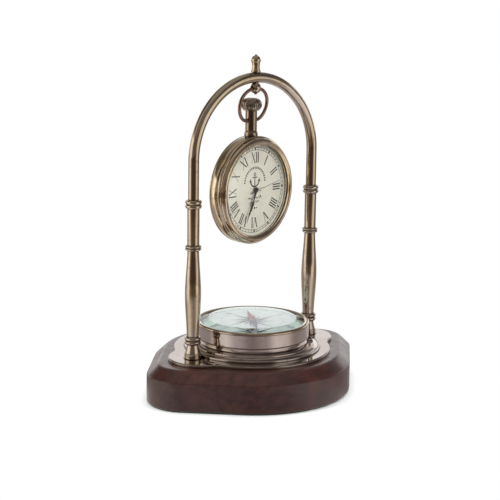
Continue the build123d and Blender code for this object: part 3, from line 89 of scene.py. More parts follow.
class Paint:
    """One procedural material. Sizes are in millimetres on the object itself."""

    def __init__(self, name):
        self.material = bpy.data.materials.new(name)
        self.material.use_nodes = True
        self.tree = self.material.node_tree
        self.tree.nodes.clear()
        self.output = self.add("ShaderNodeOutputMaterial")
        self.surface = self.add("ShaderNodeBsdfPrincipled")
        self.join(self.surface.outputs[0], self.output.inputs["Surface"])
        self.place = self.add("ShaderNodeTexCoord").outputs["Object"]

    def add(self, kind, **settings):
        made = self.tree.nodes.new(kind)
        for key, value in settings.items():
            setattr(made, key, value)
        return made

    def join(self, source, socket):
        self.tree.links.new(source, socket)

    def put(self, socket, value):
        if isinstance(value, bpy.types.NodeSocket):
            self.join(value, socket)
        elif isinstance(value, (tuple, list)) and len(value) == 3 and socket.type == "RGBA":
            socket.default_value = (*value, 1)
        else:
            socket.default_value = value

    def sum(self, operation, *values, clamp=False):
        made = self.add("ShaderNodeMath", operation=operation, use_clamp=clamp)
        for socket, value in zip(made.inputs, values):
            self.put(socket, value)
        return made.outputs[0]

    def stretched(self, per_mm):
        """Object coordinates scaled to per_mm features per millimetre along x, y and z."""
        made = self.add("ShaderNodeMapping")
        self.join(self.place, made.inputs["Vector"])
        made.inputs["Scale"].default_value = [v / MM for v in per_mm]
        return made

    def noise(
        self, size, detail=3.0, roughness=0.55, grain=(1, 1, 1), turn=(0, 0, 0), shift=0.0, bend=0.0
    ):
        """Cloudy noise with features about size mm across, drawn out by 1/grain along each axis."""
        mapping = self.stretched([g / size for g in grain])
        mapping.inputs["Rotation"].default_value = turn
        mapping.inputs["Location"].default_value = (shift, shift * 1.7, shift * 0.6)
        made = self.add("ShaderNodeTexNoise")
        self.join(mapping.outputs[0], made.inputs["Vector"])
        made.inputs["Scale"].default_value = 1.0
        made.inputs["Detail"].default_value = detail
        made.inputs["Roughness"].default_value = roughness
        made.inputs["Distortion"].default_value = bend
        return made.outputs["Fac"]

    def ramp(self, value, low, high, start=0.0, end=1.0):
        """A smooth step from start to end as value goes from low to high."""
        made = self.add("ShaderNodeMapRange", interpolation_type="SMOOTHSTEP")
        self.put(made.inputs["Value"], value)
        limits = {"From Min": low, "From Max": high, "To Min": start, "To Max": end}
        for key, number in limits.items():
            made.inputs[key].default_value = number
        return made.outputs[0]

    def blend(self, share, first, second):
        made = self.add("ShaderNodeMix", data_type="RGBA")
        self.put(made.inputs[0], share)
        self.put(made.inputs[6], first)
        self.put(made.inputs[7], second)
        return made.outputs[2]

    def mix_shaders(self, share, first, second):
        made = self.add("ShaderNodeMixShader")
        self.put(made.inputs["Fac"], share)
        self.join(first, made.inputs[1])
        self.join(second, made.inputs[2])
        return made.outputs[0]

    def rounded(self, radius):
        """The normal as if every sharp edge were rounded off to radius mm."""
        made = self.add("ShaderNodeBevel", samples=EDGE_SAMPLES)
        made.inputs["Radius"].default_value = radius * MM
        return made.outputs[0]

    def edge(self, radius, low=0.04, high=0.22):
        """How far a point lies on an edge or crest: 1 on an edge, 0 on open faces."""
        facing = self.add("ShaderNodeVectorMath", operation="DOT_PRODUCT")
        self.join(self.rounded(radius), facing.inputs[0])
        self.join(self.add("ShaderNodeNewGeometry").outputs["Normal"], facing.inputs[1])
        return self.ramp(self.sum("SUBTRACT", 1.0, facing.outputs["Value"]), low, high)

    def hollow(self, reach, low=0.45, high=0.95):
        """How enclosed a point is, by ambient occlusion: 1 deep in a groove or corner, 0 in the
        open.
        """
        made = self.add("ShaderNodeAmbientOcclusion", samples=EDGE_SAMPLES)
        made.inputs["Distance"].default_value = reach * MM
        return self.ramp(made.outputs["AO"], low, high, 1.0, 0.0)

    def bump(self, height, strength, depth, under=None):
        made = self.add("ShaderNodeBump")
        made.inputs["Strength"].default_value = strength
        made.inputs["Distance"].default_value = depth * MM
        self.put(made.inputs["Height"], height)
        if under is not None:
            self.join(under, made.inputs["Normal"])
        return made.outputs[0]

    def finish(self, colour, roughness, normal=None, **plain):
        """Wire the surface. Names in plain are its sockets, with _ for a space."""
        self.put(self.surface.inputs["Base Color"], colour)
        self.put(self.surface.inputs["Roughness"], roughness)
        if normal is not None:
            self.join(normal, self.surface.inputs["Normal"])
        for key, value in plain.items():
            self.put(self.surface.inputs[key.replace("_", " ")], value)
        return self.material


def brass(
    name, tone, warm, shade, bright,
    gloss=0.1, wear_and_highlight=0.75, wide_shade=0.8, cloud=0.35, edge_mm=0.3, line=0.5,
):
    """Antiqued brass: polished grey-brown, gold on its edges from rubbed wear and a painted
    highlight.

    tone and warm drift into each other, shade mottles them, and painted shade darkens
    hollows by wide_shade (wide) and line (narrow grooves); wear_and_highlight and edge_mm set gold
    edges.
    """
    p = Paint(name)
    drift = p.noise(24, detail=2)
    mottle = p.noise(3.2, detail=5, roughness=0.62, shift=3.0)
    speck = p.noise(0.5, detail=2, shift=7.0)
    lathe = p.noise(0.22, detail=2, grain=(0.03, 0.03, 1.0))
    hair_a = p.noise(0.16, detail=1, grain=(1.0, 0.05, 0.05), turn=(0.3, 0.5, 0.9))
    hair_b = p.noise(0.2, detail=1, grain=(0.04, 1.0, 0.06), turn=(0.8, 0.2, 0.4))
    colour = p.blend(p.ramp(drift, 0.38, 0.64), tone, warm)
    colour = p.blend(p.ramp(mottle, 0.52, 0.74, 0.0, cloud), colour, shade)
    colour = p.blend(p.ramp(speck, 0.66, 0.8, 0.0, 0.25), colour, shade)
    # edges go gold: rubbed wear and a painted highlight
    rubbed = p.sum("MULTIPLY", p.edge(edge_mm), p.ramp(mottle, 0.3, 0.6, wear_and_highlight, wear_and_highlight * 0.55))
    colour = p.blend(rubbed, colour, bright)
    # painted shade: hollows and narrow grooves darkened by ambient occlusion
    wide_painted_shade = p.sum("MULTIPLY", p.hollow(1.1), wide_shade)
    colour = p.blend(wide_painted_shade, colour, [c * 0.28 for c in shade])
    narrow_painted_shade = p.sum("MULTIPLY", p.hollow(0.7, 0.6, 0.99), line)
    colour = p.blend(narrow_painted_shade, colour, [c * 0.2 for c in shade])
    mottle_rough = p.ramp(mottle, 0.4, 0.8, gloss, gloss + 0.05)
    rough = p.sum("ADD", mottle_rough, p.ramp(speck, 0.55, 0.8, 0.0, 0.04))
    hair_rough = p.ramp(p.sum("MAXIMUM", hair_a, hair_b), 0.66, 0.78, 0.0, 0.05)
    rough = p.sum("ADD", rough, hair_rough, clamp=True)
    rough = p.sum("ADD", rough, p.sum("MULTIPLY", p.hollow(1.1), 0.25), clamp=True)
    marks = p.sum("ADD", p.sum("MULTIPLY", lathe, 0.5), p.sum("MAXIMUM", hair_a, hair_b))
    normal = p.bump(marks, 0.05, 0.010, p.rounded(0.12))
    return p.finish(colour, rough, normal, Metallic=1.0)


def plain_metal(name, tone, second, gloss, lines=(0.05, 1.0, 1.0), size=0.2):
    """Brushed or cut metal of an inner part."""
    p = Paint(name)
    brushed = p.noise(size, detail=3, grain=lines)
    stain = p.noise(4.0, detail=4, shift=2.0)
    colour = p.blend(p.ramp(stain, 0.4, 0.7), tone, second)
    rough = p.ramp(brushed, 0.3, 0.7, gloss, gloss + 0.16)
    return p.finish(colour, rough, p.bump(brushed, 0.25, 0.01, p.rounded(0.05)), Metallic=1.0)


def coated(name, tone, second, gloss, size=0.4, **plain):
    """A moulded, painted or printed surface with a fine texture and slight unevenness."""
    p = Paint(name)
    fine = p.noise(size, detail=3)
    wide = p.noise(size * 22, detail=3, shift=5.0)
    colour = p.blend(p.ramp(wide, 0.35, 0.7), tone, second)
    rough = p.ramp(fine, 0.3, 0.7, gloss, gloss + 0.12)
    return p.finish(colour, rough, p.bump(fine, 0.3, 0.01, p.rounded(0.05)), **plain)


def mahogany(name):
    """Dark red-brown mahogany along X, under a satin lacquer rubbed thin on the arrises."""
    p = Paint(name)
    warp = p.noise(34, detail=2, grain=(0.25, 1, 1))
    grain = p.noise(3.0, detail=6, roughness=0.55, grain=(0.022, 1, 0.8), bend=0.3)
    fibre = p.noise(0.45, detail=3, grain=(0.03, 1, 1), shift=4.0)
    pores = p.noise(0.3, detail=1, grain=(0.10, 1, 1), shift=9.0)
    cloud = p.noise(16, detail=3, shift=11.0)
    colour = p.blend(p.ramp(grain, 0.30, 0.72), (0.020, 0.0068, 0.0058), (0.043, 0.0135, 0.0110))
    colour = p.blend(p.ramp(warp, 0.36, 0.66, 0.0, 0.55), colour, (0.030, 0.0105, 0.0100))
    colour = p.blend(p.ramp(cloud, 0.45, 0.75, 0.0, 0.5), colour, (0.080, 0.0225, 0.0155))
    colour = p.blend(p.ramp(fibre, 0.55, 0.8, 0.0, 0.35), colour, (0.012, 0.005, 0.0045))
    worn = p.sum("MULTIPLY", p.edge(1.6, 0.03, 0.16), p.ramp(cloud, 0.35, 0.7, 0.15, 0.6))
    colour = p.blend(worn, colour, (0.105, 0.033, 0.022))
    colour = p.blend(p.ramp(pores, 0.68, 0.78, 0.0, 0.7), colour, (0.008, 0.004, 0.004))
    rough = p.ramp(p.noise(7, detail=4, shift=6.0), 0.3, 0.75, 0.28, 0.42)
    height = p.sum("SUBTRACT", p.sum("MULTIPLY", grain, 0.5), p.ramp(pores, 0.64, 0.78))
    wavy = p.bump(p.noise(12, detail=2, shift=8.0), 0.25, 0.20, p.rounded(0.3))
    normal = p.bump(height, 0.10, 0.05, wavy)
    return p.finish(
        colour, rough, normal, Coat_Weight=0.5, Coat_Roughness=0.14, Specular_IOR_Level=0.36
    )


def felt(name):
    """Green baize with a short nap."""
    p = Paint(name)
    nap = p.noise(0.25, detail=4, roughness=0.7)
    tuft = p.noise(1.6, detail=3, shift=4.0)
    colour = p.blend(p.ramp(nap, 0.3, 0.7), (0.012, 0.030, 0.019), (0.035, 0.078, 0.050))
    colour = p.blend(p.ramp(tuft, 0.5, 0.8, 0.0, 0.4), colour, (0.018, 0.040, 0.028))
    return p.finish(colour, 0.95, p.bump(nap, 0.6, 0.12), Sheen_Weight=0.5, Sheen_Roughness=0.5)


def enamel(name, tone, second, foxed):
    """A printed cream face: faint mottling, darker towards freckles of age."""
    p = Paint(name)
    cloud = p.noise(9, detail=4)
    paper = p.noise(0.35, detail=3, shift=3.0)
    freckle = p.noise(1.3, detail=2, shift=8.0)
    colour = p.blend(p.ramp(cloud, 0.35, 0.7), tone, second)
    colour = p.blend(p.ramp(freckle, 0.68, 0.8, 0.0, 0.3), colour, foxed)
    rough = p.ramp(paper, 0.3, 0.7, 0.42, 0.56)
    return p.finish(colour, rough, p.bump(paper, 0.15, 0.01))


GLASS_IOR = 1.5


def glass_body(name, tint, smeared):
    """Refracting glass, roughened up to smeared by faint smears: (paint, roughness)."""
    p = Paint(name)
    rough = p.ramp(p.noise(14, detail=3), 0.35, 0.75, 0.0, smeared)
    p.finish(tint, rough, None, Transmission_Weight=1.0, IOR=GLASS_IOR)
    return p, rough


def let_light_through(p, seen, tint):
    """Show seen, but let shadow rays straight on so the lamps light what is under it."""
    through = p.add("ShaderNodeBsdfTransparent")
    through.inputs["Color"].default_value = (*tint, 1)
    shadow = p.add("ShaderNodeLightPath").outputs["Is Shadow Ray"]
    p.join(p.mix_shaders(shadow, seen, through.outputs[0]), p.output.inputs["Surface"])
    return p.material


def clear_glass(name, tint):
    """Solid glass, refracting on every face."""
    p = glass_body(name, tint, 0.035)[0]
    return let_light_through(p, p.surface.outputs[0], tint)


def bevelled_glass(name, tint):
    """Plate glass whose flat top refracts, and whose bevel shows the view straight through.

    This isn't physical: real refraction in the bevel gave a black ring.
    """
    p, rough = glass_body(name, tint, 0.03)
    shine = p.add("ShaderNodeBsdfAnisotropic")
    p.put(shine.inputs["Roughness"], rough)
    through = p.add("ShaderNodeBsdfTransparent")
    through.inputs["Color"].default_value = (*tint, 1)
    fresnel = p.add("ShaderNodeFresnel")
    fresnel.inputs["IOR"].default_value = GLASS_IOR
    surface = p.add("ShaderNodeNewGeometry")
    outside = p.sum("SUBTRACT", 1.0, surface.outputs["Backfacing"])
    facing = p.add("ShaderNodeSeparateXYZ")
    p.join(surface.outputs["Normal"], facing.inputs[0])
    flat_top = p.sum("MULTIPLY", p.ramp(facing.outputs["Z"], 0.96, 0.99), outside)
    gloss = p.sum("MULTIPLY", fresnel.outputs[0], outside)
    pane = p.mix_shaders(gloss, through.outputs[0], shine.outputs[0])
    return let_light_through(p, p.mix_shaders(flat_top, pane, p.surface.outputs[0]), tint)


GOLD = (0.80, 0.62, 0.33)
DARK = (0.115, 0.078, 0.055)
COPPERY = (0.66, 0.46, 0.33)
PALE_BRONZE = (0.60, 0.53, 0.44)
paints = {
    "felt": felt("green_baize"),
    "mahogany": mahogany("dark_mahogany"),
    "plate_brass": brass(
        "plate_brass", (0.60, 0.535, 0.51), (0.56, 0.485, 0.44), (0.27, 0.215, 0.185), GOLD,
        gloss=0.05, cloud=0.25, edge_mm=0.45,
    ),
    "antique_brass": brass(
        "antique_brass", (0.58, 0.505, 0.44), (0.60, 0.50, 0.36), DARK, GOLD,
        gloss=0.06, wear_and_highlight=0.55, cloud=0.42,
    ),
    "case_brass": brass(
        "case_brass", (0.74, 0.64, 0.51), (0.76, 0.62, 0.43), DARK, GOLD,
        gloss=0.015, wear_and_highlight=0.15, wide_shade=1.0, cloud=0.3, line=1.0,
    ),
    "bow_bronze": brass(
        "bow_bronze", (0.40, 0.265, 0.205), (0.33, 0.225, 0.185), (0.10, 0.055, 0.04), COPPERY,
        gloss=0.10,
    ),
    "crown_bronze": brass(
        "crown_bronze", (0.40, 0.355, 0.32), (0.44, 0.38, 0.31), (0.06, 0.045, 0.035),
        PALE_BRONZE, gloss=0.10, edge_mm=0.14,
    ),
    "zinc_steel": plain_metal("zinc_steel", (0.56, 0.57, 0.58), (0.42, 0.43, 0.46), 0.25),
    "steel": plain_metal("bright_steel", (0.60, 0.60, 0.61), (0.48, 0.48, 0.50), 0.16),
    "gear_brass": plain_metal("gear_brass", (0.80, 0.60, 0.26), (0.66, 0.47, 0.20), 0.18),
    "copper_wire": plain_metal(
        "copper_wire", (0.72, 0.34, 0.19), (0.50, 0.20, 0.11), 0.25,
        lines=(1.0, 0.1, 0.1), size=0.12,
    ),
    "watch_glass": clear_glass("watch_glass", (0.97, 0.98, 0.975)),
    "bevelled_glass": bevelled_glass("bevelled_glass", (0.93, 0.975, 0.965)),
    "dial_enamel": enamel(
        "dial_enamel", (0.87, 0.845, 0.735), (0.92, 0.90, 0.80), (0.64, 0.56, 0.42)
    ),
    "compass_card": enamel(
        "compass_card", (0.50, 0.49, 0.495), (0.56, 0.55, 0.55), (0.40, 0.38, 0.36)
    ),
    "hand_black": coated(
        "hand_bronze_black", (0.020, 0.015, 0.012), (0.038, 0.028, 0.020), 0.28, size=0.25
    ),
    "rubber_seal": coated("rubber_seal", (0.018, 0.018, 0.018), (0.030, 0.029, 0.028), 0.62),
    "pale_seal": coated("pale_seal", (0.62, 0.62, 0.59), (0.54, 0.54, 0.51), 0.5),
    "movement_plastic": coated(
        "movement_plastic", (0.70, 0.68, 0.62), (0.60, 0.58, 0.53), 0.45
    ),
    "board": coated(
        "circuit_board", (0.020, 0.11, 0.05), (0.03, 0.15, 0.075), 0.32, Coat_Weight=0.4
    ),
}


NEEDLE_BEARING = math.radians(33.0)  # where the needle lies at rest
NEEDLE_RED_FROM = 2.9
NEEDLE_RED_FULL = 3.1


def needle_paint(name):
    """Blued steel, lacquered red from NEEDLE_RED_FROM to the north tip."""
    p = Paint(name)
    along = p.add("ShaderNodeVectorMath", operation="DOT_PRODUCT")
    p.join(p.place, along.inputs[0])
    along.inputs[1].default_value = (math.sin(NEEDLE_BEARING), math.cos(NEEDLE_BEARING), 0)
    north = p.ramp(along.outputs["Value"], NEEDLE_RED_FROM * MM, NEEDLE_RED_FULL * MM)
    fine = p.noise(0.3, detail=3)
    blued = p.blend(p.ramp(fine, 0.3, 0.7), (0.018, 0.028, 0.075), (0.035, 0.045, 0.10))
    red = p.blend(p.ramp(fine, 0.3, 0.7), (0.15, 0.022, 0.018), (0.20, 0.030, 0.024))
    return p.finish(
        p.blend(north, blued, red),
        p.ramp(fine, 0.3, 0.7, 0.22, 0.34),
        p.bump(fine, 0.2, 0.01, p.rounded(0.06)),
        Coat_Weight=0.5,
    )


paints["needle_steel"] = needle_paint("needle_blued_and_red")

# these nodes are painted differently from their slot's paint
finishes = {
    # the base plate: a darker brass than its slot's, as painted shade, with gold edges of wear and
    # a painted highlight
    "base_plate": brass(
        "deck_brass_shaded", (0.45, 0.40, 0.375), (0.39, 0.335, 0.305), (0.20, 0.155, 0.13), GOLD,
        gloss=0.04, wear_and_highlight=0.95, cloud=0.4, edge_mm=1.5,
    ),
    # the pendant: a darker brass than its slot's, as painted shade
    "pendant": brass(
        "pendant_brass_shaded", (0.34, 0.285, 0.24), (0.38, 0.31, 0.24), (0.07, 0.05, 0.04),
        PALE_BRONZE, gloss=0.07, wear_and_highlight=0.4,
    ),
    "cannon_pinion": paints["hand_black"],
    "second_arbor": paints["hand_black"],
    # the compass rim: heavy gold edges, rubbed wear and a painted highlight
    "compass_rim": brass(
        "rim_brass", (0.56, 0.49, 0.43), (0.58, 0.48, 0.33), (0.20, 0.15, 0.11), GOLD,
        gloss=0.06, wear_and_highlight=0.95, cloud=0.3, edge_mm=0.5,
    ),
}
for entry in frame["record"]["subparts"]:
    piece = nodes[entry["node"]]
    piece.data.materials.clear()
    piece.data.materials.append(finishes.get(entry["node"], paints[entry["material_slot"]]))


# ================================================================ printed artwork
INK_BASE = 0.006
INK_TOP = 0.03
INK_STEP = 0.0004
INK_LEVELS = 25


class Print:
    """Thin raised ink: closed prisms a few hundredths of a millimetre tall on one flat face."""

    def __init__(self, origin, across, up, forward):
        self.bm = bmesh.new()
        self.origin, self.across, self.up, self.forward = origin, across, up, forward
        self.count = 0

    def point(self, x, y, height):
        return self.origin + (self.across * x + self.up * y + self.forward * height) * MM

    def next_top(self):
        """Each shape is a hair taller than the last, so that overlapping tops don't coincide."""
        self.count += 1
        return INK_TOP + INK_STEP * (self.count % INK_LEVELS)

    def shape(self, outline):
        """One closed prism over a flat outline."""
        top = self.next_top()
        area = sum(a[0] * b[1] - b[0] * a[1] for a, b in zip(outline, outline[1:] + outline[:1]))
        if area < 0:
            outline = outline[::-1]
        low = [self.bm.verts.new(self.point(x, y, INK_BASE)) for x, y in outline]
        high = [self.bm.verts.new(self.point(x, y, top)) for x, y in outline]
        self.bm.faces.new(high)
        self.bm.faces.new(low[::-1])
        for i in range(len(low)):
            j = (i + 1) % len(low)
            self.bm.faces.new((low[i], low[j], high[j], high[i]))

    def ring(self, radius, width, steps=180):
        """A flat closed ring about the middle."""
        top = self.next_top()
        inner, outer = radius - width / 2, radius + width / 2
        section = ((inner, INK_BASE), (outer, INK_BASE), (outer, top), (inner, top))
        rows = []
        for i in range(steps):
            a = math.radians(360.0 * i / steps)
            rows.append(
                [
                    self.bm.verts.new(self.point(r * math.sin(a), r * math.cos(a), h))
                    for r, h in section
                ]
            )
        join_rows(self.bm, rows)

    def placed(self, outline, angle, radius):
        """An upright outline moved out to radius, its top outward. Angles run clockwise."""
        a = math.radians(angle)
        return [
            (
                radius * math.sin(a) + x * math.cos(a) + y * math.sin(a),
                radius * math.cos(a) - x * math.sin(a) + y * math.cos(a),
            )
            for x, y in outline
        ]

    def piece(self, name, body, slot, paint):
        made = made_from(self.bm, name, paint)
        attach(made, body)


def join_rows(bm, rows):
    """Faces between neighbouring rows of corners, round to the first row again."""
    for i, one in enumerate(rows):
        two = rows[(i + 1) % len(rows)]
        for k in range(len(one)):
            m = (k + 1) % len(one)
            bm.faces.new((one[k], two[k], two[m], one[m]))


def made_from(bm, name, paint):
    """An object in the scene from a finished bmesh."""
    bmesh.ops.recalc_face_normals(bm, faces=bm.faces)
    mesh = bpy.data.meshes.new(name)
    bm.to_mesh(mesh)
    bm.free()
    made = bpy.data.objects.new(name, mesh)
    bpy.context.scene.collection.objects.link(made)
    mesh.materials.append(paint)
    return made


def slant(x_low, x_high, low, high, width):
    """A stroke that leans from x_low at its foot to x_high at its head."""
    half = width / 2
    return [(x_low - half, low), (x_low + half, low), (x_high + half, high), (x_high - half, high)]


def bar(x, low, high, width):
    """An upright stroke."""
    return slant(x, x, low, high, width)


def serif(x, y, half, thick):
    """A level stroke whose middle is at x, y."""
    low, high = y - thick / 2, y + thick / 2
    return [(x - half, low), (x + half, low), (x + half, high), (x - half, high)]


NUMERAL_HEIGHT = 6.3
THICK = 0.78
THIN = 0.26
SERIF = 0.18
SERIF_NARROW = 0.55
SERIF_WIDE = 0.76
X_REACH = 1.5


def glyph(letter, x):
    """Outlines of one Roman letter whose middle is at x, and the letter's width."""
    h = NUMERAL_HEIGHT / 2
    if letter == "I":
        return [bar(x, -h, h, THICK), serif(x, h, 0.62, SERIF), serif(x, -h, 0.62, SERIF)]
    if letter == "V":
        return [
            slant(x + 0.1, x - 1.5, -h, h, THICK),
            slant(x + 0.2, x + 1.6, -h, h, THIN),
            serif(x - 1.5, h, 0.8, SERIF),
            serif(x + 1.6, h, SERIF_NARROW, SERIF),
        ]
    left, right_side = x - X_REACH, x + X_REACH
    return [
        slant(right_side, left, -h, h, THICK),
        slant(left, right_side, -h, h, THIN),
        serif(left, h, SERIF_WIDE, SERIF),
        serif(right_side, h, SERIF_NARROW, SERIF),
        serif(left, -h, SERIF_NARROW, SERIF),
        serif(right_side, -h, SERIF_WIDE, SERIF),
    ]


LETTER_WIDTH = {"I": 1.5, "V": 4.1, "X": 4.1}
HOURS = ["XII", "I", "II", "III", "IIII", "V", "VI", "VII", "VIII", "IX", "X", "XI"]
NUMERAL_R = 19.9
TRACK_IN_R = 24.45
TRACK_OUT_R = 26.0
TRACK_LINE = 0.26
MINUTE_MARK = 0.28
HOUR_MARK = 1.05
MARK_GAP = 0.02

dial_ink = Print(DIAL_CENTRE, DIAL_ACROSS, Vector((0, 0, 1)), DIAL_FORWARD)
for hour, word in enumerate(HOURS):
    width = sum(LETTER_WIDTH[c] for c in word)
    x = -width / 2
    for c in word:
        for outline in glyph(c, x + LETTER_WIDTH[c] / 2):
            dial_ink.shape(dial_ink.placed(outline, 30 * hour, NUMERAL_R))
        x += LETTER_WIDTH[c]
dial_ink.ring(TRACK_IN_R, TRACK_LINE)
dial_ink.ring(TRACK_OUT_R, TRACK_LINE)
track_middle = (TRACK_IN_R + TRACK_OUT_R) / 2
mark_half = (TRACK_OUT_R - TRACK_IN_R) / 2 - MARK_GAP
for minute in range(60):
    thick = HOUR_MARK if minute % 5 == 0 else MINUTE_MARK
    mark = bar(0, -mark_half, mark_half, thick)
    dial_ink.shape(dial_ink.placed(mark, 6 * minute, track_middle))

# a plain anchor above the hub
ANCHOR_Y = 6.2
SHANK_BELOW = 4.1
SHANK_ABOVE = 2.6
SHANK_FOOT_HALF = 0.34
SHANK_HEAD_HALF = 0.28
STOCK_WIDTH = 4.4
shank_foot, shank_head = ANCHOR_Y - SHANK_BELOW, ANCHOR_Y + SHANK_ABOVE
dial_ink.shape(
    [
        (-SHANK_FOOT_HALF, shank_foot),
        (SHANK_FOOT_HALF, shank_foot),
        (SHANK_HEAD_HALF, shank_head),
        (-SHANK_HEAD_HALF, shank_head),
    ]
)
dial_ink.shape(bar(0, ANCHOR_Y + 1.3, ANCHOR_Y + 1.8, STOCK_WIDTH))


def arc_strip(centre_y, radius, half, start, end, steps):
    """A bent strip about a point on the middle line, from one clockwise angle to another."""
    for i in range(steps):
        a = math.radians(start + (end - start) * i / steps)
        b = math.radians(start + (end - start) * (i + 1) / steps)
        corners = ((radius - half, a), (radius + half, a), (radius + half, b), (radius - half, b))
        dial_ink.shape([(r * math.sin(t), centre_y + r * math.cos(t)) for r, t in corners])


# its ring, its arms and the fluke at each end of them
FLUKE = ((2.7, -1.1), (4.9, -1.4), (4.1, 0.9))
arc_strip(ANCHOR_Y + 3.45, 0.8, 0.24, 0, 360, 20)
arc_strip(ANCHOR_Y - 0.3, 3.8, 0.42, 100, 260, 22)
for side in (-1, 1):
    dial_ink.shape([(side * x, ANCHOR_Y + y) for x, y in FLUKE])

# an arc of rope over the anchor
ROPE_R = 9.1
ROPE_CENTRE_Y = 4.6
ROPE_PITCH = 9.6  # degrees from one strand to the next
ROPE_STRAND = [(-0.62, -0.55), (0.16, -0.75), (0.62, 0.55), (-0.16, 0.75)]
for i in range(-9, 10):
    strand = dial_ink.placed(ROPE_STRAND, i * ROPE_PITCH, ROPE_R)
    dial_ink.shape([(x, ROPE_CENTRE_Y + y) for x, y in strand])

# two rows of waves and a row of diamonds under the hub
WAVE_LENGTH = 2.1
WAVE_RISE = 1.1
WAVE_HALF = 0.22
WAVE_STEPS = 8
DIAMOND_Y = -11.0
for low, count in ((-5.6, 3), (-7.9, 2)):
    for k in range(-count, count):
        arc = [
            (
                WAVE_LENGTH * (k + t / WAVE_STEPS),
                low + WAVE_RISE * math.sin(math.pi * t / WAVE_STEPS) ** 0.8,
            )
            for t in range(WAVE_STEPS + 1)
        ]
        for (x0, y0), (x1, y1) in zip(arc, arc[1:]):
            dial_ink.shape(
                [
                    (x0, y0 - WAVE_HALF),
                    (x1, y1 - WAVE_HALF),
                    (x1, y1 + WAVE_HALF),
                    (x0, y0 + WAVE_HALF),
                ]
            )
for x, s in ((-2.0, 0.62), (0, 0.95), (2.0, 0.62)):
    dial_ink.shape([(x - s, DIAMOND_Y), (x, DIAMOND_Y - s), (x + s, DIAMOND_Y), (x, DIAMOND_Y + s)])
dial_paint = coated("dial_ink", (0.016, 0.014, 0.013), (0.040, 0.034, 0.030), 0.5, size=0.2)
dial_ink.piece("dial_printing", "watch_case", "hand_black", dial_paint)

# ---------------------------------------------------------------- compass card
card_origin = Vector((0, 0, CARD_TOP_Z)) * MM
card_ink = Print(card_origin, Vector((1, 0, 0)), Vector((0, 1, 0)), Vector((0, 0, 1)))
CARD_RIM_R = 29.6
DEGREE_OUT_R = 29.5
DEGREE_IN_R = 27.2
TENS_IN_R = 26.0
ROSE_R = 19.4
ROSE_WAIST = 1.2
ROSE_LINE_HALF = 0.07
LETTER_R = 22.6
card_ink.ring(CARD_RIM_R, 0.25)
card_ink.ring(DEGREE_IN_R, 0.14)
card_ink.ring(ROSE_R, 0.14)
for degree in range(0, 360, 5):
    inner = DEGREE_IN_R if degree % 10 else TENS_IN_R
    mark = bar(0, inner, DEGREE_OUT_R, 0.34 if degree % 30 == 0 else 0.16)
    card_ink.shape(card_ink.placed(mark, degree, 0))

# a rose of sixteen points, each inked on one side and outlined on the other
for i in range(16):
    length, half = ((18.8, 2.9), (10.6, 1.35), (14.6, 2.2), (10.6, 1.35))[i % 4]
    shoulder = 4.2 if i % 2 == 0 else 6.4
    tip, corner, foot = (0, length), (-half * 0.8, shoulder), (0, ROSE_WAIST)
    card_ink.shape(card_ink.placed([foot, (half * 0.8, shoulder), tip], i * 22.5, 0))
    for a, b in ((tip, corner), (corner, foot)):
        dx, dy = b[0] - a[0], b[1] - a[1]
        run = math.hypot(dx, dy)
        nx, ny = dy / run * ROSE_LINE_HALF, -dx / run * ROSE_LINE_HALF
        line = [
            (a[0] - nx, a[1] - ny),
            (a[0] + nx, a[1] + ny),
            (b[0] + nx, b[1] + ny),
            (b[0] - nx, b[1] - ny),
        ]
        card_ink.shape(card_ink.placed(line, i * 22.5, 0))

# the letters N, E, S and W
POINTS = {
    0: [bar(-1.2, -1.8, 1.8, 0.5), bar(1.2, -1.8, 1.8, 0.5), slant(1.2, -1.2, -1.8, 1.8, 0.62)],
    90: [
        bar(-0.9, -1.8, 1.8, 0.5),
        serif(0.1, 1.6, 1.2, 0.4),
        serif(0, 0, 1.0, 0.4),
        serif(0.1, -1.6, 1.2, 0.4),
    ],
    180: [
        serif(0, 1.6, 1.15, 0.4),
        serif(0, 0, 1.15, 0.4),
        serif(0, -1.6, 1.15, 0.4),
        bar(-1.0, 0, 1.7, 0.46),
        bar(1.0, -1.7, 0, 0.46),
    ],
    270: [
        slant(-0.85, -1.5, -1.8, 1.8, 0.46),
        slant(-0.85, 0, -1.8, 1.5, 0.4),
        slant(0.85, 0, -1.8, 1.5, 0.4),
        slant(0.85, 1.5, -1.8, 1.8, 0.46),
    ],
}
for degree, outlines in POINTS.items():
    for outline in outlines:
        card_ink.shape(card_ink.placed(outline, degree, LETTER_R))
card_paint = coated("card_ink", (0.018, 0.020, 0.030), (0.040, 0.042, 0.055), 0.5, size=0.2)
card_ink.piece("card_printing", "base", "compass_card", card_paint)

# a silvered chapter ring lining the compass well, under the bevel of its glass
LINER_FOOT_R = 29.9
LINER_TOP_R = 31.18
LINER_BACK_R = 31.36
LINER_STEPS = 144
liner_foot_z = CARD_TOP_Z + 0.04
liner_top_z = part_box("compass_gasket")[0].z / MM - 0.1
liner_section = (
    (LINER_FOOT_R, liner_foot_z),
    (CARD_R, liner_foot_z),
    (LINER_BACK_R, liner_top_z),
    (LINER_TOP_R, liner_top_z),
)
liner = bmesh.new()
loops = []
for i in range(LINER_STEPS):
    a = math.tau * i / LINER_STEPS
    corners = [Vector((r * math.cos(a), r * math.sin(a), z)) * MM for r, z in liner_section]
    loops.append([liner.verts.new(corner) for corner in corners])
join_rows(liner, loops)
liner_paint = enamel("silvered_ring", (0.84, 0.86, 0.84), (0.78, 0.80, 0.78), (0.62, 0.60, 0.54))
chapter_ring = made_from(liner, "chapter_ring", liner_paint)
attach(chapter_ring, "base")

# ================================================================ studio
back = Vector(
    (
        math.sin(CAMERA_AZIMUTH) * math.cos(CAMERA_ELEVATION),
        -math.cos(CAMERA_AZIMUTH) * math.cos(CAMERA_ELEVATION),
        math.sin(CAMERA_ELEVATION),
    )
)
right = Vector((math.cos(CAMERA_AZIMUTH), math.sin(CAMERA_AZIMUTH), 0))
front = Vector((math.sin(CAMERA_AZIMUTH), -math.cos(CAMERA_AZIMUTH), 0))
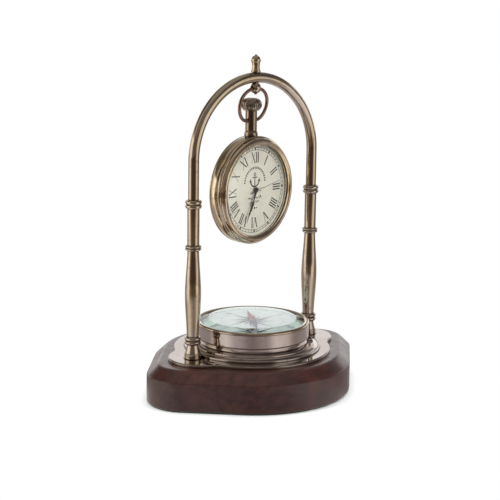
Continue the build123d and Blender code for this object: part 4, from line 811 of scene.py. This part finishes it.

# What polished metal reflects, by bearing in degrees to the right of the photograph's side.
# These were set to bring the photograph's bright and dark bands into the metal.
# Only reflections see them: the camera sees BACKDROP, and other rays see FILL.
WALLS = [
    (-180, (1.24, 1.22, 1.22)),
    (-128, (1.10, 1.08, 1.06)),
    (-112, (0.40, 0.36, 0.29)),
    (-98, (1.00, 0.90, 0.74)),
    (-82, (1.50, 1.38, 1.18)),
    (-52, (1.10, 1.04, 0.94)),
    (-36, (0.20, 0.165, 0.14)),
    (0, (0.14, 0.105, 0.085)),
    (32, (0.17, 0.135, 0.115)),
    (48, (0.95, 0.89, 0.80)),
    (74, (0.90, 0.85, 0.77)),
    (92, (0.18, 0.162, 0.165)),
    (112, (0.24, 0.22, 0.22)),
    (132, (1.10, 1.08, 1.07)),
    (180, (1.24, 1.22, 1.22)),
]
CEILING = [
    (-180, (0.40, 0.38, 0.36)),
    (-150, (0.22, 0.20, 0.17)),
    (-128, (0.10, 0.088, 0.062)),
    (-90, (0.13, 0.11, 0.078)),
    (-62, (0.55, 0.50, 0.42)),
    (-34, (0.20, 0.18, 0.16)),
    (0, (0.22, 0.195, 0.18)),
    (40, (0.14, 0.126, 0.128)),
    (86, (0.09, 0.080, 0.084)),
    (120, (0.11, 0.098, 0.100)),
    (150, (0.22, 0.20, 0.19)),
    (180, (0.40, 0.38, 0.36)),
]
# the table in reflections: close to the object, further off, and far away
TABLE_NEAR = [
    (-180, (0.62, 0.59, 0.57)),
    (-150, (0.66, 0.62, 0.60)),
    (-120, (0.40, 0.355, 0.35)),
    (-90, (0.38, 0.335, 0.33)),
    (-68, (0.80, 0.75, 0.70)),
    (-50, (0.90, 0.86, 0.80)),
    (-28, (0.52, 0.46, 0.45)),
    (0, (0.27, 0.225, 0.225)),
    (24, (0.42, 0.37, 0.36)),
    (46, (0.82, 0.77, 0.74)),
    (64, (0.76, 0.70, 0.67)),
    (88, (0.36, 0.315, 0.31)),
    (120, (0.38, 0.34, 0.33)),
    (150, (0.64, 0.61, 0.59)),
    (180, (0.62, 0.59, 0.57)),
]
TABLE_MID = [
    (-180, (0.22, 0.19, 0.17)),
    (-146, (0.52, 0.47, 0.43)),
    (-116, (0.36, 0.31, 0.27)),
    (-100, (0.55, 0.48, 0.41)),
    (-84, (1.05, 0.97, 0.89)),
    (-60, (1.20, 1.11, 1.00)),
    (-42, (0.26, 0.195, 0.135)),
    (-12, (0.135, 0.095, 0.062)),
    (14, (0.125, 0.09, 0.06)),
    (32, (0.20, 0.155, 0.115)),
    (46, (0.95, 0.87, 0.77)),
    (68, (1.05, 0.97, 0.88)),
    (86, (0.32, 0.28, 0.255)),
    (110, (0.20, 0.175, 0.16)),
    (138, (0.40, 0.36, 0.33)),
    (160, (0.48, 0.44, 0.41)),
    (180, (0.22, 0.19, 0.17)),
]
TABLE_FAR = [
    (-180, (0.20, 0.165, 0.14)),
    (-150, (0.36, 0.30, 0.26)),
    (-118, (0.30, 0.245, 0.205)),
    (-98, (0.75, 0.66, 0.55)),
    (-86, (1.70, 1.54, 1.32)),
    (-66, (1.05, 0.94, 0.78)),
    (-46, (0.16, 0.115, 0.08)),
    (-20, (0.080, 0.052, 0.036)),
    (20, (0.075, 0.050, 0.036)),
    (40, (0.12, 0.088, 0.064)),
    (56, (0.72, 0.65, 0.55)),
    (80, (1.15, 1.06, 0.92)),
    (96, (0.26, 0.23, 0.22)),
    (126, (0.20, 0.165, 0.14)),
    (156, (0.30, 0.26, 0.23)),
    (180, (0.20, 0.165, 0.14)),
]


def maths(tree, operation, *values):
    made = tree.nodes.new("ShaderNodeMath")
    made.operation = operation
    for socket, value in zip(made.inputs, values):
        if isinstance(value, bpy.types.NodeSocket):
            tree.links.new(value, socket)
        else:
            socket.default_value = value
    return made.outputs[0]


def bearing_colour(tree, direction, stops):
    """A colour for a direction round the object, from a list of (degrees, colour)."""

    def dot(axis):
        made = tree.nodes.new("ShaderNodeVectorMath")
        made.operation = "DOT_PRODUCT"
        tree.links.new(direction, made.inputs[0])
        made.inputs[1].default_value = axis
        return made.outputs["Value"]

    angle = maths(tree, "ARCTAN2", dot(right), dot(front))
    share = maths(tree, "MULTIPLY_ADD", angle, 1 / math.tau, 0.5)
    ramp = tree.nodes.new("ShaderNodeValToRGB")
    tree.links.new(share, ramp.inputs[0])
    ramp.color_ramp.interpolation = "EASE"
    elements = ramp.color_ramp.elements
    elements[0].position, elements[0].color = 0.0, (*stops[0][1], 1)
    elements[1].position, elements[1].color = 1.0, (*stops[-1][1], 1)
    for degrees, colour in stops[1:-1]:
        stop = elements.new(degrees / 360 + 0.5)
        stop.color = (*colour, 1)
    return ramp.outputs[0]


def mixed(tree, share, first, second):
    """A colour between two, each a plain colour or a socket."""
    made = tree.nodes.new("ShaderNodeMix")
    made.data_type = "RGBA"
    tree.links.new(share, made.inputs[0])
    for socket, value in ((made.inputs[6], first), (made.inputs[7], second)):
        if isinstance(value, tuple):
            socket.default_value = (*value, 1)
        else:
            tree.links.new(value, socket)
    return made.outputs[2]


def stepped(tree, value, low, high):
    """A smooth step from 0 to 1 as value goes from low to high."""
    made = tree.nodes.new("ShaderNodeMapRange")
    made.interpolation_type = "SMOOTHSTEP"
    tree.links.new(value, made.inputs["Value"])
    made.inputs["From Min"].default_value = low
    made.inputs["From Max"].default_value = high
    return made.outputs[0]


OVERHEAD = (0.34, 0.315, 0.295)
BACKDROP = (1.0, 1.0, 1.0)  # what the camera sees
FILL = (0.82, 0.82, 0.82)  # what lights everything softly

# heights in the sky, as the upward part of a direction, where one band fades into the next
HORIZON = (-0.14, -0.02)
WALL_TOP = (0.27, 0.38)
CEILING_TOP = (0.78, 0.92)

world = bpy.data.worlds.new("studio")
bpy.context.scene.world = world
world.use_nodes = True
sky = world.node_tree
sky.nodes.clear()
out = sky.nodes.new("ShaderNodeOutputWorld")
glow = sky.nodes.new("ShaderNodeBackground")
sky.links.new(glow.outputs[0], out.inputs["Surface"])
ray = sky.nodes.new("ShaderNodeTexCoord").outputs["Generated"]
split = sky.nodes.new("ShaderNodeSeparateXYZ")
sky.links.new(ray, split.inputs[0])
walls = bearing_colour(sky, ray, WALLS)
height = split.outputs["Z"]
level = mixed(sky, stepped(sky, height, *HORIZON), bearing_colour(sky, ray, TABLE_FAR), walls)
upper = mixed(sky, stepped(sky, height, *WALL_TOP), level, bearing_colour(sky, ray, CEILING))
room = mixed(sky, stepped(sky, height, *CEILING_TOP), upper, OVERHEAD)
path = sky.nodes.new("ShaderNodeLightPath")
lit = mixed(sky, path.outputs["Is Glossy Ray"], FILL, room)
sky.links.new(mixed(sky, path.outputs["Is Camera Ray"], lit, BACKDROP), glow.inputs["Color"])


LAMP_TARGET = Vector((0, 0, 0.1))


def area_light(name, bearing, elevation, distance, size, power, colour=(1, 1, 1)):
    """A soft light aimed at LAMP_TARGET and hidden from reflections, in metres and watts.

    Bearing is in degrees to the right of the photograph's side.
    """
    light = bpy.data.lights.new(name, "AREA")
    light.shape = "RECTANGLE"
    light.size, light.size_y = size
    light.energy = power
    light.color = colour
    lamp = bpy.data.objects.new(name, light)
    b, e = math.radians(bearing), math.radians(elevation)
    away = (front * math.cos(b) + right * math.sin(b)) * math.cos(e) + Vector((0, 0, math.sin(e)))
    lamp.location = LAMP_TARGET + away * distance
    lamp.rotation_euler = away.to_track_quat("Z", "Y").to_euler()
    lamp.visible_camera = False
    lamp.visible_glossy = False
    bpy.context.scene.collection.objects.link(lamp)


area_light("left_softbox", -62, 32, 1.1, (0.35, 0.9), 5.5, (1.0, 0.985, 0.96))
area_light("right_softbox", 58, 28, 1.2, (0.25, 0.9), 4.5, (1.0, 0.985, 0.965))
area_light("top_softbox", 150, 76, 1.0, (0.8, 0.8), 6.0)

# The floor, in metres. Reflections see the coloured table, and the camera sees a pale floor
# that fades to white, which takes away most of the object's shadow.
FLOOR_R = 3.0
FLOOR_DROP = 0.00005
FADE_TO_WHITE = (0.058, 0.105)
NEAR_TO_MID = (0.20, 0.36)
MID_TO_FAR = (0.50, 0.72)
floor_mesh = bpy.data.meshes.new("floor")
floor_build = bmesh.new()
bmesh.ops.create_circle(floor_build, cap_ends=True, segments=96, radius=FLOOR_R)
floor_build.to_mesh(floor_mesh)
floor_build.free()
floor = bpy.data.objects.new("floor", floor_mesh)
floor.location.z = -FLOOR_DROP
bpy.context.scene.collection.objects.link(floor)
floor_paint = bpy.data.materials.new("floor_white")
floor_paint.use_nodes = True
tree = floor_paint.node_tree
tree.nodes.clear()
out = tree.nodes.new("ShaderNodeOutputMaterial")
pale = tree.nodes.new("ShaderNodeBsdfDiffuse")
pale.inputs["Color"].default_value = (0.93, 0.93, 0.93, 1)
reflected = tree.nodes.new("ShaderNodeEmission")
place = tree.nodes.new("ShaderNodeTexCoord").outputs["Object"]
reach = tree.nodes.new("ShaderNodeVectorMath")
reach.operation = "LENGTH"
tree.links.new(place, reach.inputs[0])
distance = reach.outputs["Value"]
near = bearing_colour(tree, place, TABLE_NEAR)
mid = bearing_colour(tree, place, TABLE_MID)
far = bearing_colour(tree, place, TABLE_FAR)
near_mid = mixed(tree, stepped(tree, distance, *NEAR_TO_MID), near, mid)
table = mixed(tree, stepped(tree, distance, *MID_TO_FAR), near_mid, far)
tree.links.new(table, reflected.inputs["Color"])
blank = tree.nodes.new("ShaderNodeEmission")
blank.inputs["Color"].default_value = (1, 1, 1, 1)
rays = tree.nodes.new("ShaderNodeLightPath")
whiter = stepped(tree, distance, *FADE_TO_WHITE)
plain = tree.nodes.new("ShaderNodeMixShader")
tree.links.new(maths(tree, "MULTIPLY", rays.outputs["Is Camera Ray"], whiter), plain.inputs["Fac"])
tree.links.new(pale.outputs[0], plain.inputs[1])
tree.links.new(blank.outputs[0], plain.inputs[2])
choose = tree.nodes.new("ShaderNodeMixShader")
tree.links.new(rays.outputs["Is Glossy Ray"], choose.inputs["Fac"])
tree.links.new(plain.outputs[0], choose.inputs[1])
tree.links.new(reflected.outputs[0], choose.inputs[2])
tree.links.new(choose.outputs[0], out.inputs["Surface"])
floor_mesh.materials.append(floor_paint)
floor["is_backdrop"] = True

# ---------------------------------------------------------------- camera
level_up = back.cross(right)
side_axis = right * math.cos(CAMERA_ROLL) + level_up * math.sin(CAMERA_ROLL)
up_axis = level_up * math.cos(CAMERA_ROLL) - right * math.sin(CAMERA_ROLL)
camera_data = bpy.data.cameras.new("camera")
camera_data.lens = CAMERA_LENS
camera_data.sensor_width = 36.0
camera = bpy.data.objects.new("camera", camera_data)
camera.matrix_world = Matrix.Translation(CAMERA_TARGET + back * CAMERA_DISTANCE) @ Matrix(
    (side_axis, up_axis, back)
).transposed().to_4x4()
bpy.context.scene.collection.objects.link(camera)
bpy.context.scene.camera = camera
bpy.context.scene.view_settings.view_transform = "Standard"

# ---------------------------------------------------------------- sizes
bpy.context.view_layer.update()
low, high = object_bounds()
